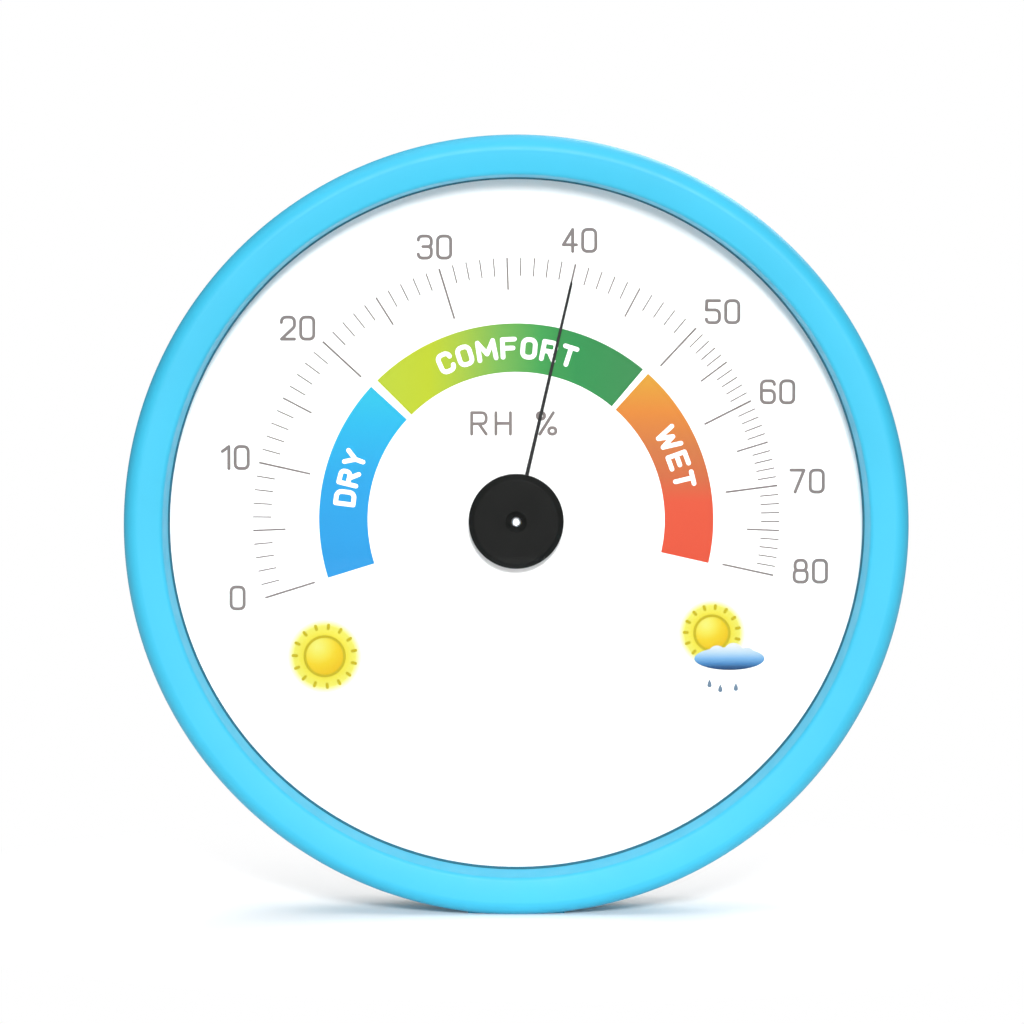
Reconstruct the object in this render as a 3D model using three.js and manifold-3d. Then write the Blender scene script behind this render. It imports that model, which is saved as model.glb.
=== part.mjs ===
// Dial hygrometer: a round wall or table instrument with a hygroscopic coil movement.
// Millimetres. The pointer axis runs along Y: the dial faces -Y, +X is right and +Z is up.
// Inside the instrument group the pointer axis is x = z = 0 and the printed dial face is y = 0.
// The group is lifted so that the case stands on the plane z = 0.
import * as THREE from "three";
import { mergeVertices } from "three/addons/utils/BufferGeometryUtils.js";
import Module from "manifold-3d";

const wasm = await Module();
wasm.setup();

// ---- Driving dimensions -------------------------------------------------------------------

const BEZEL_RADIUS = 65;
const AXIS_HEIGHT = 64.8; // pointer axis above the table: the rim is cut flat just short of its radius
const FRONT_Y = -12; // crest of the bezel
const BACK_Y = 12; // outside of the back wall
const WINDOW_RADIUS = 57.4; // opening of the bezel's lip, in front of the lens
const WALL = 1.8;
const GAP = 0.1; // between stacked pieces that stay still
const READING_ANGLE = 13; // pointer at 40 % RH, degrees clockwise from straight up

const FINE = 60; // segments of a large circle
const MEDIUM = 32;
const SMALL = 16;
const SCREW = 12;

// Bezel
const BEZEL_REAR_Y = 0.5;
const BEZEL_REAR_RADIUS = 64.2; // the side draws in towards the back
const BEZEL_SIDE_Y = -9; // widest section, where the side rounds over to the crest
const CREST_RADIUS = 62.6;
const BEZEL_CORE_Y = -9.3; // bottom of the groove that thins the ring from behind
const LENS_SEAT_Y = -6.25;
const INNER_WALL_LEAN = 1; // how far the inner wall leans out from the lip to the crest
const LENS_POCKET = { inner: 60.2, outer: 61.2, y: -4.2 };
const SKIRT_RADIUS = 62.9; // inside of the bezel skirt
const SNAP_DEPTH = 0.5;
const FOOT_HALF_WIDTH = 8; // flat foot under the rim

// Lens, spacer and dial stack
const LENS_THICKNESS = 1.5;
const LENS_RADIUS = 60;
const SPACER_BORE = 58.8; // wider than the lip, so that the lip hides the spacer from the front
const DIAL_RADIUS = 60.6;
const DIAL_THICKNESS = 0.4;
const CARRIER_THICKNESS = 1.5;

// Back shell
const SHELL_RADIUS = 63.6;
const SHELL_REAR_RADIUS = 63;
const SPIGOT_RADIUS = 62.6;
const SHELL_BORE = 61;
const SHELL_EDGE = 2.4; // radius of the rear outer edge
const SPIGOT_FRONT_Y = -3.8;
const SHELL_RIB = { count: 8, half: 0.7, inner: 57 }; // ribs that press on the carrier's rim
const SCREW_SQUARE = 34; // carrier screws sit at (+-34, +-34)
const SCREW_POST = { radius: 3.6, front: 6 };
const SCREW_WELL = { radius: 2.5, floor: 9, hole: 1.3 };
const ADJUSTER_HOLE_RADIUS = 3.4;
const KEYHOLE = { z: 45, radius: 4.2, slotHalf: 2.2, top: 53.5 };
const VENT = { count: 9, pitch: 25, half: 1, inner: 9, outer: 30 };
const FOOT_PAD_FRONT_Y = 1.6;

// Fold-out leg
const LEG_PIVOT = { y: 10.4, z: -17 };
const LEG_LENGTH = 44;
const LEG_THICKNESS = 2.6;
const LEG_HALF_TOP = 12;
const LEG_HALF_TIP = 10;
const LEG_HEEL = 1.75; // stands above the pivot and meets the recess floor when the leg is open
const LEG_STUB = { radius: 0.9, reach: 2.3 };
const LEG_RECESS_Y = 8.4;
const LEG_SIDE_GAP = 0.5;
const LEG_TOP_GAP = 0.6;
const LEG_WINDOW = { half: 5.5, top: -7, bottom: -32 }; // measured down from the pivot
const TRAY_WALL = 2.6; // tray walls round the leg recess, on the inside of the back wall

// Movement
const ARBOR = { radius: 0.75, pivot: 0.6, front: -4, shoulder: 6.8, rear: 9.3 };
const BUSH = { bore: 0.95, radius: 2.2, flange: 3.4, front: 0.6, seat: 2.1, rear: 2.9 };
const CASE_BOSS = { radius: 2.6, rear: 5.9, pilot: 1.05 };
const BRIDGE_BOSS = { radius: 2.4, rear: 4, pilot: 0.85 };
const PILOT_FLOOR_Y = 1.4;
const BRIDGE_HALF = 13.9;
const BRIDGE_SCREW_X = 18;
const BRIDGE_HALF_WIDTH = 3.5;
const BRIDGE_METAL = 0.7;
const BRIDGE_FOOT_Y = 4.1;
const BRIDGE_REACH = 21; // half the span over the feet
const STRAP_Y = 8.3;
const COIL = { inner: 2.7, outer: 11.8, turns: 5, strip: 0.35, y: 3.6, width: 3.3, slitPlay: 0.25 };
const STUD = { radius: 1, pin: 0.65, front: 3.4 };
const COLLET = { radius: 2, front: 3.8, rear: 6.6 };
const REGULATOR = { radius: 4.2, y: 7.5, metal: 0.6, armRoot: 1.6, armTip: 1.2, armEnd: 1.3 };
const SPINDLE = { radius: 1.9, bore: 0.85, boreEnd: 9.5, collar: 2.9, neck: 1.5, neckY: 9.6 };
const SPINDLE_HEAD = { radius: 2.8, y: 10.2, end: 11.6, slot: 0.9 };
const WASHER = { inner: 2.15, outer: 3.6, y: 9.2, metal: 0.2, wave: 0.12 };
const CLIP = { inner: 1.6, outer: 3.3, mouth: 35, y: [9.7, 10.1] };

// Pointer
const HUB_RADIUS = 7.9;
const HUB_FACE_Y = -3.7;
const NEEDLE_Y = -1.7;
const NEEDLE_METAL = 0.3;
const NEEDLE = { reach: 41.2, root: 0.32, tip: 0.22, point: 0.6, eye: 3, bore: 1.7, tail: 7, tailHalf: 1.4 };
const HUB_DEPTH = 1.8;
const HUB_FLOOR = 0.9;
const HUB_SINK = { outer: 1.8, inner: 1.1, depth: 0.5 }; // countersink round the arbor's end
const HUB_NECK = { radius: 2.4, depth: 1.5 };
const BOSS = { small: 1.6, large: 2.2, front: -2.05, step: -1.3, rear: -0.7 };

// ---- Geometry helpers ---------------------------------------------------------------------

const radians = THREE.MathUtils.degToRad;

// A closed three.js geometry as a manifold-3d solid.
function toSolid(geometry) {
  const loose = geometry.index ? geometry.toNonIndexed() : geometry;
  const bare = new THREE.BufferGeometry().setAttribute("position", loose.getAttribute("position"));
  const merged = mergeVertices(bare, 1e-4);
  const triVerts = [];
  for (let i = 0; i < merged.index.count; i += 3) {
    const [a, b, c] = merged.index.array.slice(i, i + 3);
    if (a !== b && b !== c && c !== a) triVerts.push(a, b, c);
  }
  return new wasm.Manifold(
    new wasm.Mesh({
      numProp: 3,
      vertProperties: merged.getAttribute("position").array,
      triVerts: new Uint32Array(triVerts),
    }),
  );
}

function toGeometry(solid) {
  const mesh = solid.getMesh();
  const geometry = new THREE.BufferGeometry();
  geometry.setAttribute("position", new THREE.BufferAttribute(mesh.vertProperties, 3));
  geometry.setIndex(new THREE.BufferAttribute(mesh.triVerts, 1));
  geometry.computeVertexNormals();
  return geometry;
}

const joined = (...geometries) =>
  geometries.map(toSolid).reduce((whole, piece) => whole.add(piece));

// The first geometry, plus the added ones, minus the cut ones.
function carved(base, added, cuts) {
  const solid = joined(base, ...added);
  return toGeometry(cuts.length ? solid.subtract(joined(...cuts)) : solid);
}

// A body of revolution about Y from [radius, y] points, closed on itself or on the axis.
function turned(profile, segments) {
  const points = profile.map(([r, y]) => new THREE.Vector2(r, y));
  const onAxis = points[0].x === 0 && points.at(-1).x === 0;
  if (!onAxis) points.push(points[0].clone());
  return new THREE.LatheGeometry(points, segments);
}

function rod(radius, y0, y1, { x = 0, z = 0, segments = SMALL } = {}) {
  return new THREE.CylinderGeometry(radius, radius, y1 - y0, segments).translate(x, (y0 + y1) / 2, z);
}

function crossRod(radius, halfLength, y, z) {
  return new THREE.CylinderGeometry(radius, radius, 2 * halfLength, SMALL)
    .rotateZ(Math.PI / 2)
    .translate(0, y, z);
}

function block([x0, x1], [y0, y1], [z0, z1]) {
  return new THREE.BoxGeometry(x1 - x0, y1 - y0, z1 - z0).translate(
    (x0 + x1) / 2,
    (y0 + y1) / 2,
    (z0 + z1) / 2,
  );
}

// A flat plate: an outline drawn in x and z, given thickness along Y.
function plate(shape, y0, y1) {
  return new THREE.ExtrudeGeometry(shape, { depth: y1 - y0, bevelEnabled: false, curveSegments: 6 })
    .rotateX(Math.PI / 2)
    .translate(0, y1, 0);
}

function outline(points) {
  return new THREE.Shape(points.map(([x, z]) => new THREE.Vector2(x, z)));
}

// A quarter arc of [radius, y] points for a profile, from one tangent point to the next.
function quarterArc(centre, size, from, steps) {
  return Array.from({ length: steps + 1 }, (_, i) => {
    const angle = radians(from + (90 * i) / steps);
    return [centre[0] + size[0] * Math.cos(angle), centre[1] + size[1] * Math.sin(angle)];
  });
}

// A slot with round ends along Z, between z0 and z1.
function slotCut(halfWidth, z0, z1, y0, y1) {
  const shape = new THREE.Shape();
  shape.absarc(0, z1 - halfWidth, halfWidth, 0, Math.PI);
  shape.absarc(0, z0 + halfWidth, halfWidth, Math.PI, 2 * Math.PI);
  return plate(shape, y0, y1);
}

const spread = (count, make) => Array.from({ length: count }, (_, i) => make(i));

const corners = [
  [1, 1],
  [1, -1],
  [-1, -1],
  [-1, 1],
].map(([sx, sz]) => [sx * SCREW_SQUARE, sz * SCREW_SQUARE]);

// ---- Case ---------------------------------------------------------------------------------

// A flat foot under the rim, from the table plane up into the wall at the given radius.
const foot = (y0, y1, root) =>
  block([-FOOT_HALF_WIDTH, FOOT_HALF_WIDTH], [y0, y1], [-AXIS_HEIGHT, -root]);

// Coloured front ring: rounded crest, inner wall down to a lip, lens pocket and a cored skirt.
function bezelRing() {
  const sideCentre = [CREST_RADIUS, BEZEL_SIDE_Y];
  const sideSize = [BEZEL_RADIUS - CREST_RADIUS, BEZEL_SIDE_Y - FRONT_Y];
  const ring = turned(
    [
      [WINDOW_RADIUS, LENS_SEAT_Y],
      [WINDOW_RADIUS, LENS_SEAT_Y - 0.4],
      [WINDOW_RADIUS + INNER_WALL_LEAN, FRONT_Y + 0.9],
      [WINDOW_RADIUS + INNER_WALL_LEAN + 0.7, FRONT_Y + 0.2],
      ...quarterArc(sideCentre, sideSize, -90, 4),
      [BEZEL_REAR_RADIUS, BEZEL_REAR_Y],
      [SKIRT_RADIUS, BEZEL_REAR_Y],
      [SKIRT_RADIUS, BEZEL_REAR_Y - 1.4],
      [SKIRT_RADIUS + SNAP_DEPTH, BEZEL_REAR_Y - 1.6],
      [SKIRT_RADIUS + SNAP_DEPTH, BEZEL_REAR_Y - 3.2],
      [SKIRT_RADIUS, BEZEL_REAR_Y - 3.4],
      [SKIRT_RADIUS, BEZEL_CORE_Y],
      [LENS_POCKET.outer, BEZEL_CORE_Y],
      [LENS_POCKET.outer, LENS_POCKET.y],
      [LENS_POCKET.inner, LENS_POCKET.y],
      [LENS_POCKET.inner, LENS_SEAT_Y],
    ],
    FINE,
  );
  const belowTable = block([-20, 20], [FRONT_Y - 1, BEZEL_REAR_Y + 1], [-BEZEL_RADIUS - 5, -AXIS_HEIGHT]);
  return carved(ring, [foot(BEZEL_SIDE_Y, BEZEL_REAR_Y, BEZEL_REAR_RADIUS - 0.7)], [belowTable]);
}

function lens() {
  const front = LENS_SEAT_Y + GAP;
  const rear = front + LENS_THICKNESS;
  return turned(
    [
      [0, front],
      [LENS_RADIUS - 0.3, front],
      [LENS_RADIUS, front + 0.3],
      [LENS_RADIUS, rear],
      [0, rear],
    ],
    FINE,
  );
}

// Ring that holds the lens and the dial apart, in the colour of the bezel.
function spacerRing() {
  const front = LENS_SEAT_Y + 2 * GAP + LENS_THICKNESS;
  return turned(
    [
      [SPACER_BORE, front],
      [LENS_RADIUS, front],
      [LENS_RADIUS, -GAP],
      [SPACER_BORE, -GAP],
    ],
    FINE,
  );
}

// Dished rear case: spigot and snap lugs at the front, then wall, floor, posts and leg tray.
function backShell() {
  const floorY = BACK_Y - WALL;
  const edgeCentre = [SHELL_REAR_RADIUS - SHELL_EDGE, BACK_Y - SHELL_EDGE];
  const rearEdge = quarterArc(edgeCentre, [SHELL_EDGE, SHELL_EDGE], 0, 4);
  const dish = turned(
    [
      [0, floorY],
      [SHELL_BORE - 0.8, floorY],
      [SHELL_BORE, floorY - 0.8],
      [SHELL_BORE, SPIGOT_FRONT_Y],
      [SPIGOT_RADIUS, SPIGOT_FRONT_Y],
      [SPIGOT_RADIUS, BEZEL_REAR_Y + 0.3],
      [SHELL_RADIUS, BEZEL_REAR_Y + 0.3],
      ...rearEdge,
      [0, BACK_Y],
    ],
    FINE,
  );

  const carrierRear = DIAL_THICKNESS + CARRIER_THICKNESS + GAP;
  const ribStep = 360 / SHELL_RIB.count;
  const ribs = spread(SHELL_RIB.count, (i) =>
    block(
      [-SHELL_RIB.half, SHELL_RIB.half],
      [carrierRear + GAP, floorY + 0.1],
      [SHELL_RIB.inner, SHELL_BORE + 0.5],
    ).rotateY(radians(ribStep * (i + 0.5))),
  );
  const posts = corners.map(([x, z]) => rod(SCREW_POST.radius, SCREW_POST.front, floorY + 0.1, { x, z }));
  const pad = foot(FOOT_PAD_FRONT_Y, LEG_RECESS_Y, SHELL_BORE + 0.6);

  const through = [floorY - 1, BACK_Y + 1];
  const wells = corners.flatMap(([x, z]) => [
    rod(SCREW_WELL.radius, SCREW_WELL.floor, BACK_Y + 1, { x, z }),
    rod(SCREW_WELL.hole, SCREW_POST.front - 1, SCREW_WELL.floor + 0.1, { x, z, segments: SCREW }),
  ]);
  const firstVent = (-VENT.pitch * (VENT.count - 1)) / 2;
  const vents = spread(VENT.count, (i) =>
    slotCut(VENT.half, VENT.inner, VENT.outer, ...through).rotateY(radians(firstVent + VENT.pitch * i)),
  );
  const openings = [
    rod(ADJUSTER_HOLE_RADIUS, ...through, { segments: MEDIUM }),
    rod(KEYHOLE.radius, ...through, { z: KEYHOLE.z }),
    slotCut(KEYHOLE.slotHalf, KEYHOLE.z - 2, KEYHOLE.top, ...through),
  ];

  const trayMargin = TRAY_WALL + LEG_SIDE_GAP;
  const tray = toSolid(legOutlinePlate(trayMargin, TRAY_WALL, LEG_RECESS_Y - WALL, floorY + 0.1));
  const inside = toSolid(rod(SHELL_BORE + 0.5, 0, BACK_Y, { segments: FINE }));
  const pivotHalf = LEG_HALF_TOP + LEG_STUB.reach + 0.4;
  const recess = [
    legOutlinePlate(LEG_SIDE_GAP, LEG_TOP_GAP, LEG_RECESS_Y, BACK_Y + 1),
    crossRod(LEG_STUB.radius + 0.2, pivotHalf, LEG_PIVOT.y, LEG_PIVOT.z),
  ];
  return carved(
    dish,
    [...ribs, ...posts, pad, ...snapLugs(), toGeometry(tray.intersect(inside))],
    [...wells, ...vents, ...openings, ...recess],
  );
}

// Six short lugs round the spigot that click into the groove of the bezel skirt.
function snapLugs() {
  const lugY = BEZEL_REAR_Y - 3;
  const ring = turned(
    [
      [SPIGOT_RADIUS - 0.4, lugY],
      [SPIGOT_RADIUS, lugY],
      [SKIRT_RADIUS + SNAP_DEPTH / 2, lugY + 0.5],
      [SKIRT_RADIUS + SNAP_DEPTH / 2, lugY + 1.2],
      [SPIGOT_RADIUS - 0.4, lugY + 1.2],
    ],
    FINE,
  );
  const bars = spread(3, (i) =>
    block([-5, 5], [lugY - 1, lugY + 2], [-BEZEL_RADIUS, BEZEL_RADIUS]).rotateY(radians(30 + 60 * i)),
  );
  return toSolid(ring).intersect(joined(...bars)).decompose().map(toGeometry);
}

// The tapered area of the leg, widened by a margin and run out past the rim at the bottom.
function legOutlinePlate(margin, above, y0, y1) {
  const taper = (LEG_HALF_TOP - LEG_HALF_TIP) / LEG_LENGTH;
  const bottom = -BEZEL_RADIUS;
  const top = LEG_PIVOT.z + LEG_HEEL + above;
  const halfAt = (z) => LEG_HALF_TOP + margin + taper * (z - LEG_PIVOT.z);
  return plate(
    outline([
      [-halfAt(top), top],
      [-halfAt(bottom), bottom],
      [halfAt(bottom), bottom],
      [halfAt(top), top],
    ]),
    y0,
    y1,
  );
}

// Fold-out leg about its own pivot at the origin: a tapered frame hanging down, with stub pins.
function standLeg() {
  const half = LEG_THICKNESS / 2;
  const corner = 3;
  const frame = new THREE.Shape();
  frame.moveTo(-LEG_HALF_TOP, LEG_HEEL);
  frame.lineTo(-LEG_HALF_TIP, -LEG_LENGTH + corner);
  frame.quadraticCurveTo(-LEG_HALF_TIP, -LEG_LENGTH, -LEG_HALF_TIP + corner, -LEG_LENGTH);
  frame.lineTo(LEG_HALF_TIP - corner, -LEG_LENGTH);
  frame.quadraticCurveTo(LEG_HALF_TIP, -LEG_LENGTH, LEG_HALF_TIP, -LEG_LENGTH + corner);
  frame.lineTo(LEG_HALF_TOP, LEG_HEEL);
  const window = slotCut(LEG_WINDOW.half, LEG_WINDOW.bottom, LEG_WINDOW.top, -half - 1, half + 1);
  const stubs = crossRod(LEG_STUB.radius, LEG_HALF_TOP + LEG_STUB.reach, 0, 0);
  return carved(plate(frame, -half, half), [stubs], [window]);
}

// ---- Dial ---------------------------------------------------------------------------------

function dialFace() {
  return turned(
    [
      [3, 0],
      [DIAL_RADIUS, 0],
      [DIAL_RADIUS, DIAL_THICKNESS],
      [3, DIAL_THICKNESS],
    ],
    FINE,
  );
}

// Moulded plate behind the printed face, with bosses for the case screws and the bridge.
function dialCarrier() {
  const front = DIAL_THICKNESS + GAP;
  const rear = front + CARRIER_THICKNESS;
  const disc = turned(
    [
      [BUSH.radius + GAP, front],
      [DIAL_RADIUS, front],
      [DIAL_RADIUS, rear],
      [BUSH.radius + GAP, rear],
    ],
    FINE,
  );
  const bridgeSpots = [-1, 1].map((side) => [side * BRIDGE_SCREW_X, 0]);
  const bosses = (boss, spots) => spots.map(([x, z]) => rod(boss.radius, rear - 0.5, boss.rear, { x, z }));
  const pilots = (boss, spots) =>
    spots.map(([x, z]) => rod(boss.pilot, PILOT_FLOOR_Y, boss.rear + 1, { x, z, segments: SCREW }));
  return carved(
    disc,
    [...bosses(CASE_BOSS, corners), ...bosses(BRIDGE_BOSS, bridgeSpots)],
    [...pilots(CASE_BOSS, corners), ...pilots(BRIDGE_BOSS, bridgeSpots)],
  );
}

// ---- Movement -----------------------------------------------------------------------------

function frontBush() {
  return turned(
    [
      [BUSH.bore, BUSH.front],
      [BUSH.radius, BUSH.front],
      [BUSH.radius, BUSH.seat],
      [BUSH.flange, BUSH.seat],
      [BUSH.flange, BUSH.rear],
      [BUSH.bore, BUSH.rear],
    ],
    SMALL,
  );
}

// Stamped U-shaped bridge: two feet on the carrier, two uprights and a strap behind the coil.
function movementBridge() {
  const width = [-BRIDGE_HALF_WIDTH, BRIDGE_HALF_WIDTH];
  const strapRear = STRAP_Y + BRIDGE_METAL;
  const sides = [-1, 1].flatMap((side) => {
    const span = (outer) => [side * (BRIDGE_HALF - BRIDGE_METAL), side * outer].sort((p, q) => p - q);
    return [
      block(span(BRIDGE_HALF), [BRIDGE_FOOT_Y, strapRear], width),
      block(span(BRIDGE_REACH), [BRIDGE_FOOT_Y, BRIDGE_FOOT_Y + BRIDGE_METAL], width),
    ];
  });
  const strap = block([-BRIDGE_HALF, BRIDGE_HALF], [STRAP_Y, strapRear], width);
  const holes = [-1, 1].map((side) => rod(0.9, 3, 6, { x: side * BRIDGE_SCREW_X, segments: SCREW }));
  return carved(strap, sides, [...holes, rod(SPINDLE.radius + 0.2, STRAP_Y - 1, strapRear + 1)]);
}

// Friction-held plate that carries the outer end of the coil on its arm.
function regulatorPlate() {
  const { radius, y, metal, armRoot, armTip, armEnd } = REGULATOR;
  const disc = rod(radius, y, y + metal, { segments: MEDIUM });
  const arm = plate(
    outline([
      [-armRoot, 0],
      [armRoot, 0],
      [armTip, COIL.outer + armEnd],
      [-armTip, COIL.outer + armEnd],
    ]),
    y,
    y + metal,
  );
  const holes = [
    rod(SPINDLE.radius + GAP, y - 1, y + metal + 1),
    rod(STUD.pin + GAP, y - 1, y + metal + 1, { z: COIL.outer }),
  ];
  return carved(disc, [arm], holes);
}

// Calibration spindle: collar, shank through the strap and a slotted head at the back of the case.
function adjusterSpindle() {
  const collarFront = REGULATOR.y - 0.5;
  const collarRear = REGULATOR.y - GAP;
  const { radius, y, end, slot } = SPINDLE_HEAD;
  const spindle = turned(
    [
      [0, SPINDLE.boreEnd],
      [SPINDLE.bore, SPINDLE.boreEnd],
      [SPINDLE.bore, collarFront],
      [SPINDLE.collar, collarFront],
      [SPINDLE.collar, collarRear],
      [SPINDLE.radius, collarRear],
      [SPINDLE.radius, SPINDLE.neckY],
      [SPINDLE.neck, SPINDLE.neckY],
      [SPINDLE.neck, y],
      [radius, y],
      [radius, end - 0.3],
      [radius - 0.3, end],
      [0, end],
    ],
    SMALL,
  );
  const slotCutter = block([-radius - 1, radius + 1], [end - slot, end + 1], [-slot / 2, slot / 2]);
  return carved(spindle, [], [slotCutter]);
}

// Thin three-wave spring washer between the strap and the clip.
function frictionWasher() {
  const { inner, outer, y, metal, wave } = WASHER;
  const washer = turned(
    [
      [inner, y],
      [outer, y],
      [outer, y + metal],
      [inner, y + metal],
    ],
    MEDIUM,
  );
  const position = washer.getAttribute("position");
  for (let i = 0; i < position.count; i++) {
    const around = Math.atan2(position.getX(i), position.getZ(i));
    position.setY(i, position.getY(i) + wave * Math.cos(3 * around));
  }
  return washer;
}

function retainingClip() {
  const clip = new THREE.Shape();
  const mouth = radians(CLIP.mouth);
  clip.absarc(0, 0, CLIP.outer, mouth, 2 * Math.PI - mouth);
  clip.absarc(0, 0, CLIP.inner, 2 * Math.PI - mouth, mouth, true);
  return plate(clip, ...CLIP.y);
}

// Post with a slit that grips the coil and a pin riveted into the regulator's arm.
function coilStud() {
  const shoulder = REGULATOR.y - GAP;
  const end = REGULATOR.y + REGULATOR.metal;
  const stud = turned(
    [
      [0, STUD.front],
      [STUD.radius, STUD.front],
      [STUD.radius, shoulder],
      [STUD.pin, shoulder],
      [STUD.pin, end],
      [0, end],
    ],
    SMALL,
  );
  const slitHalf = COIL.strip / 2 + COIL.slitPlay;
  return carved(stud, [], [block([-2, 2], [3, COIL.y + COIL.width + GAP], [-slitHalf, slitHalf])]);
}

// Flat spiral of hygroscopic strip, from the arbor collet out to the stud at the top.
function humidityCoil() {
  const steps = COIL.turns * 24;
  const tail = 5; // degrees that the strip runs on past the stud
  const sweep = 360 * COIL.turns + tail;
  const edge = (side) =>
    spread(steps + 1, (i) => {
      const share = i / steps;
      const angle = radians(90 + tail - sweep * (1 - share));
      const radius = COIL.inner + (COIL.outer - COIL.inner) * Math.min(1, (sweep * share) / (sweep - tail));
      const r = radius + (side * COIL.strip) / 2;
      return [r * Math.cos(angle), r * Math.sin(angle)];
    });
  return plate(outline([...edge(1), ...edge(-1).reverse()]), COIL.y, COIL.y + COIL.width);
}

// Collar on the arbor with a slit for the inner end of the coil.
function coilCollet() {
  const bore = ARBOR.radius + GAP;
  const ring = turned(
    [
      [bore, COLLET.front],
      [COLLET.radius, COLLET.front],
      [COLLET.radius, COLLET.rear],
      [bore, COLLET.rear],
    ],
    SMALL,
  );
  const slit = block([1.2, COLLET.radius + 0.5], [COLLET.front - 1, COLLET.rear + 1], [-0.25, 0.25]);
  return carved(ring, [], [slit]);
}

function arbor() {
  const { radius, pivot, front, shoulder, rear } = ARBOR;
  return turned(
    [
      [0, front],
      [radius - 0.2, front],
      [radius, front + 0.2],
      [radius, shoulder],
      [pivot, shoulder + 0.1],
      [pivot, rear - 0.2],
      [0, rear],
    ],
    SMALL,
  );
}

// ---- Pointer ------------------------------------------------------------------------------

// Stepped collar on the arbor: the needle sits on its small end.
function pointerBoss() {
  const bore = ARBOR.radius + GAP;
  return turned(
    [
      [bore, BOSS.front],
      [BOSS.small, BOSS.front],
      [BOSS.small, BOSS.step],
      [BOSS.large, BOSS.step],
      [BOSS.large, BOSS.rear],
      [bore, BOSS.rear],
    ],
    SMALL,
  );
}

// Thin blade pointing up, with a balance tail that the hub cap covers.
function pointerNeedle() {
  const { reach, root, tip, point, eye, bore, tail, tailHalf } = NEEDLE;
  const y = [NEEDLE_Y, NEEDLE_Y + NEEDLE_METAL];
  const blade = plate(
    outline([
      [-root, 0],
      [root, 0],
      [tip, reach - point],
      [0, reach],
      [-tip, reach - point],
    ]),
    ...y,
  );
  const balance = block([-tailHalf, tailHalf], y, [-tail, 0]);
  return carved(rod(eye, ...y), [blade, balance], [rod(bore, NEEDLE_Y - 1, NEEDLE_Y + 1)]);
}

// Cap with a skirt round the needle's eye; a countersink leaves the end of the arbor in sight.
function hubCap() {
  const bore = ARBOR.radius + GAP;
  return turned(
    [
      [bore, HUB_FACE_Y + HUB_SINK.depth],
      [HUB_SINK.inner, HUB_FACE_Y + HUB_SINK.depth],
      [HUB_SINK.outer, HUB_FACE_Y],
      [HUB_RADIUS - 0.5, HUB_FACE_Y],
      [HUB_RADIUS, HUB_FACE_Y + 0.5],
      [HUB_RADIUS, HUB_FACE_Y + HUB_DEPTH],
      [HUB_RADIUS - 0.7, HUB_FACE_Y + HUB_DEPTH],
      [HUB_RADIUS - 0.7, HUB_FACE_Y + HUB_FLOOR],
      [HUB_NECK.radius, HUB_FACE_Y + HUB_FLOOR],
      [HUB_NECK.radius, HUB_FACE_Y + HUB_NECK.depth],
      [bore, HUB_FACE_Y + HUB_NECK.depth],
    ],
    MEDIUM,
  );
}

// ---- Fasteners ----------------------------------------------------------------------------

// Pan-head screw with a cross recess. Its seat is the origin, the shank runs to -Y.
function panScrew({ head, height, shank, length }) {
  const body = turned(
    [
      [0, height],
      [head * 0.7, height],
      [head, height * 0.6],
      [head, 0],
      [shank, 0],
      [shank, -length + 0.8],
      [0, -length],
    ].reverse(),
    SCREW,
  );
  const half = head * 0.12;
  const arm = head * 0.55;
  const depth = [height * 0.45, height + 1];
  return carved(body, [], [
    block([-half, half], depth, [-arm, arm]),
    block([-arm, arm], depth, [-half, half]),
  ]);
}

// ---- Assembly -----------------------------------------------------------------------------

const finish = (color, roughness, metalness = 0) =>
  new THREE.MeshStandardMaterial({ color, roughness, metalness });

const skyBlue = finish(0x56dafc, 0.3);
const whitePlastic = finish(0xf4f5f3, 0.55);
const clear = new THREE.MeshStandardMaterial({
  color: 0xf2fbff,
  roughness: 0.04,
  metalness: 0,
  transparent: true,
  opacity: 0.15,
});
const printedWhite = finish(0xfbfbfa, 0.7);
const black = finish(0x282828, 0.5);
const brass = finish(0xc8a24a, 0.3, 1);
const steel = finish(0xb9bcc0, 0.32, 1);
const coated = finish(0x8a6a3e, 0.6, 0.4);

function part(name, geometry, material, place = {}) {
  const mesh = new THREE.Mesh(geometry, material);
  mesh.name = name;
  mesh.position.set(place.x ?? 0, place.y ?? 0, place.z ?? 0);
  return mesh;
}

function group(...children) {
  const made = new THREE.Group();
  made.add(...children);
  return made;
}

const carrierScrew = panScrew({ head: 2.1, height: 1.3, shank: 0.95, length: 6.6 });
const bridgeScrew = panScrew({ head: 1.7, height: 1, shank: 0.7, length: 3.3 });

const pointer = group(
  part("arbor", arbor(), steel),
  part("coil_collet", coilCollet(), brass),
  part("pointer_boss", pointerBoss(), brass),
  part("pointer_needle", pointerNeedle(), black),
  part("hub_cap", hubCap(), black),
);
pointer.rotation.y = radians(READING_ANGLE);

const regulator = group(
  part("regulator_plate", regulatorPlate(), steel),
  part("adjuster_spindle", adjusterSpindle(), brass),
  part("retaining_clip", retainingClip(), steel),
  part("coil_stud", coilStud(), brass, { z: COIL.outer }),
  part("humidity_coil", humidityCoil(), coated),
);

const movement = group(
  part("front_bush", frontBush(), brass),
  part("movement_bridge", movementBridge(), steel),
  part("friction_washer", frictionWasher(), steel),
  ...[-1, 1].map((side, i) =>
    part(`bridge_screw_${i + 1}`, bridgeScrew, steel, {
      x: side * BRIDGE_SCREW_X,
      y: BRIDGE_FOOT_Y + BRIDGE_METAL + GAP,
    }),
  ),
  regulator,
);

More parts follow.
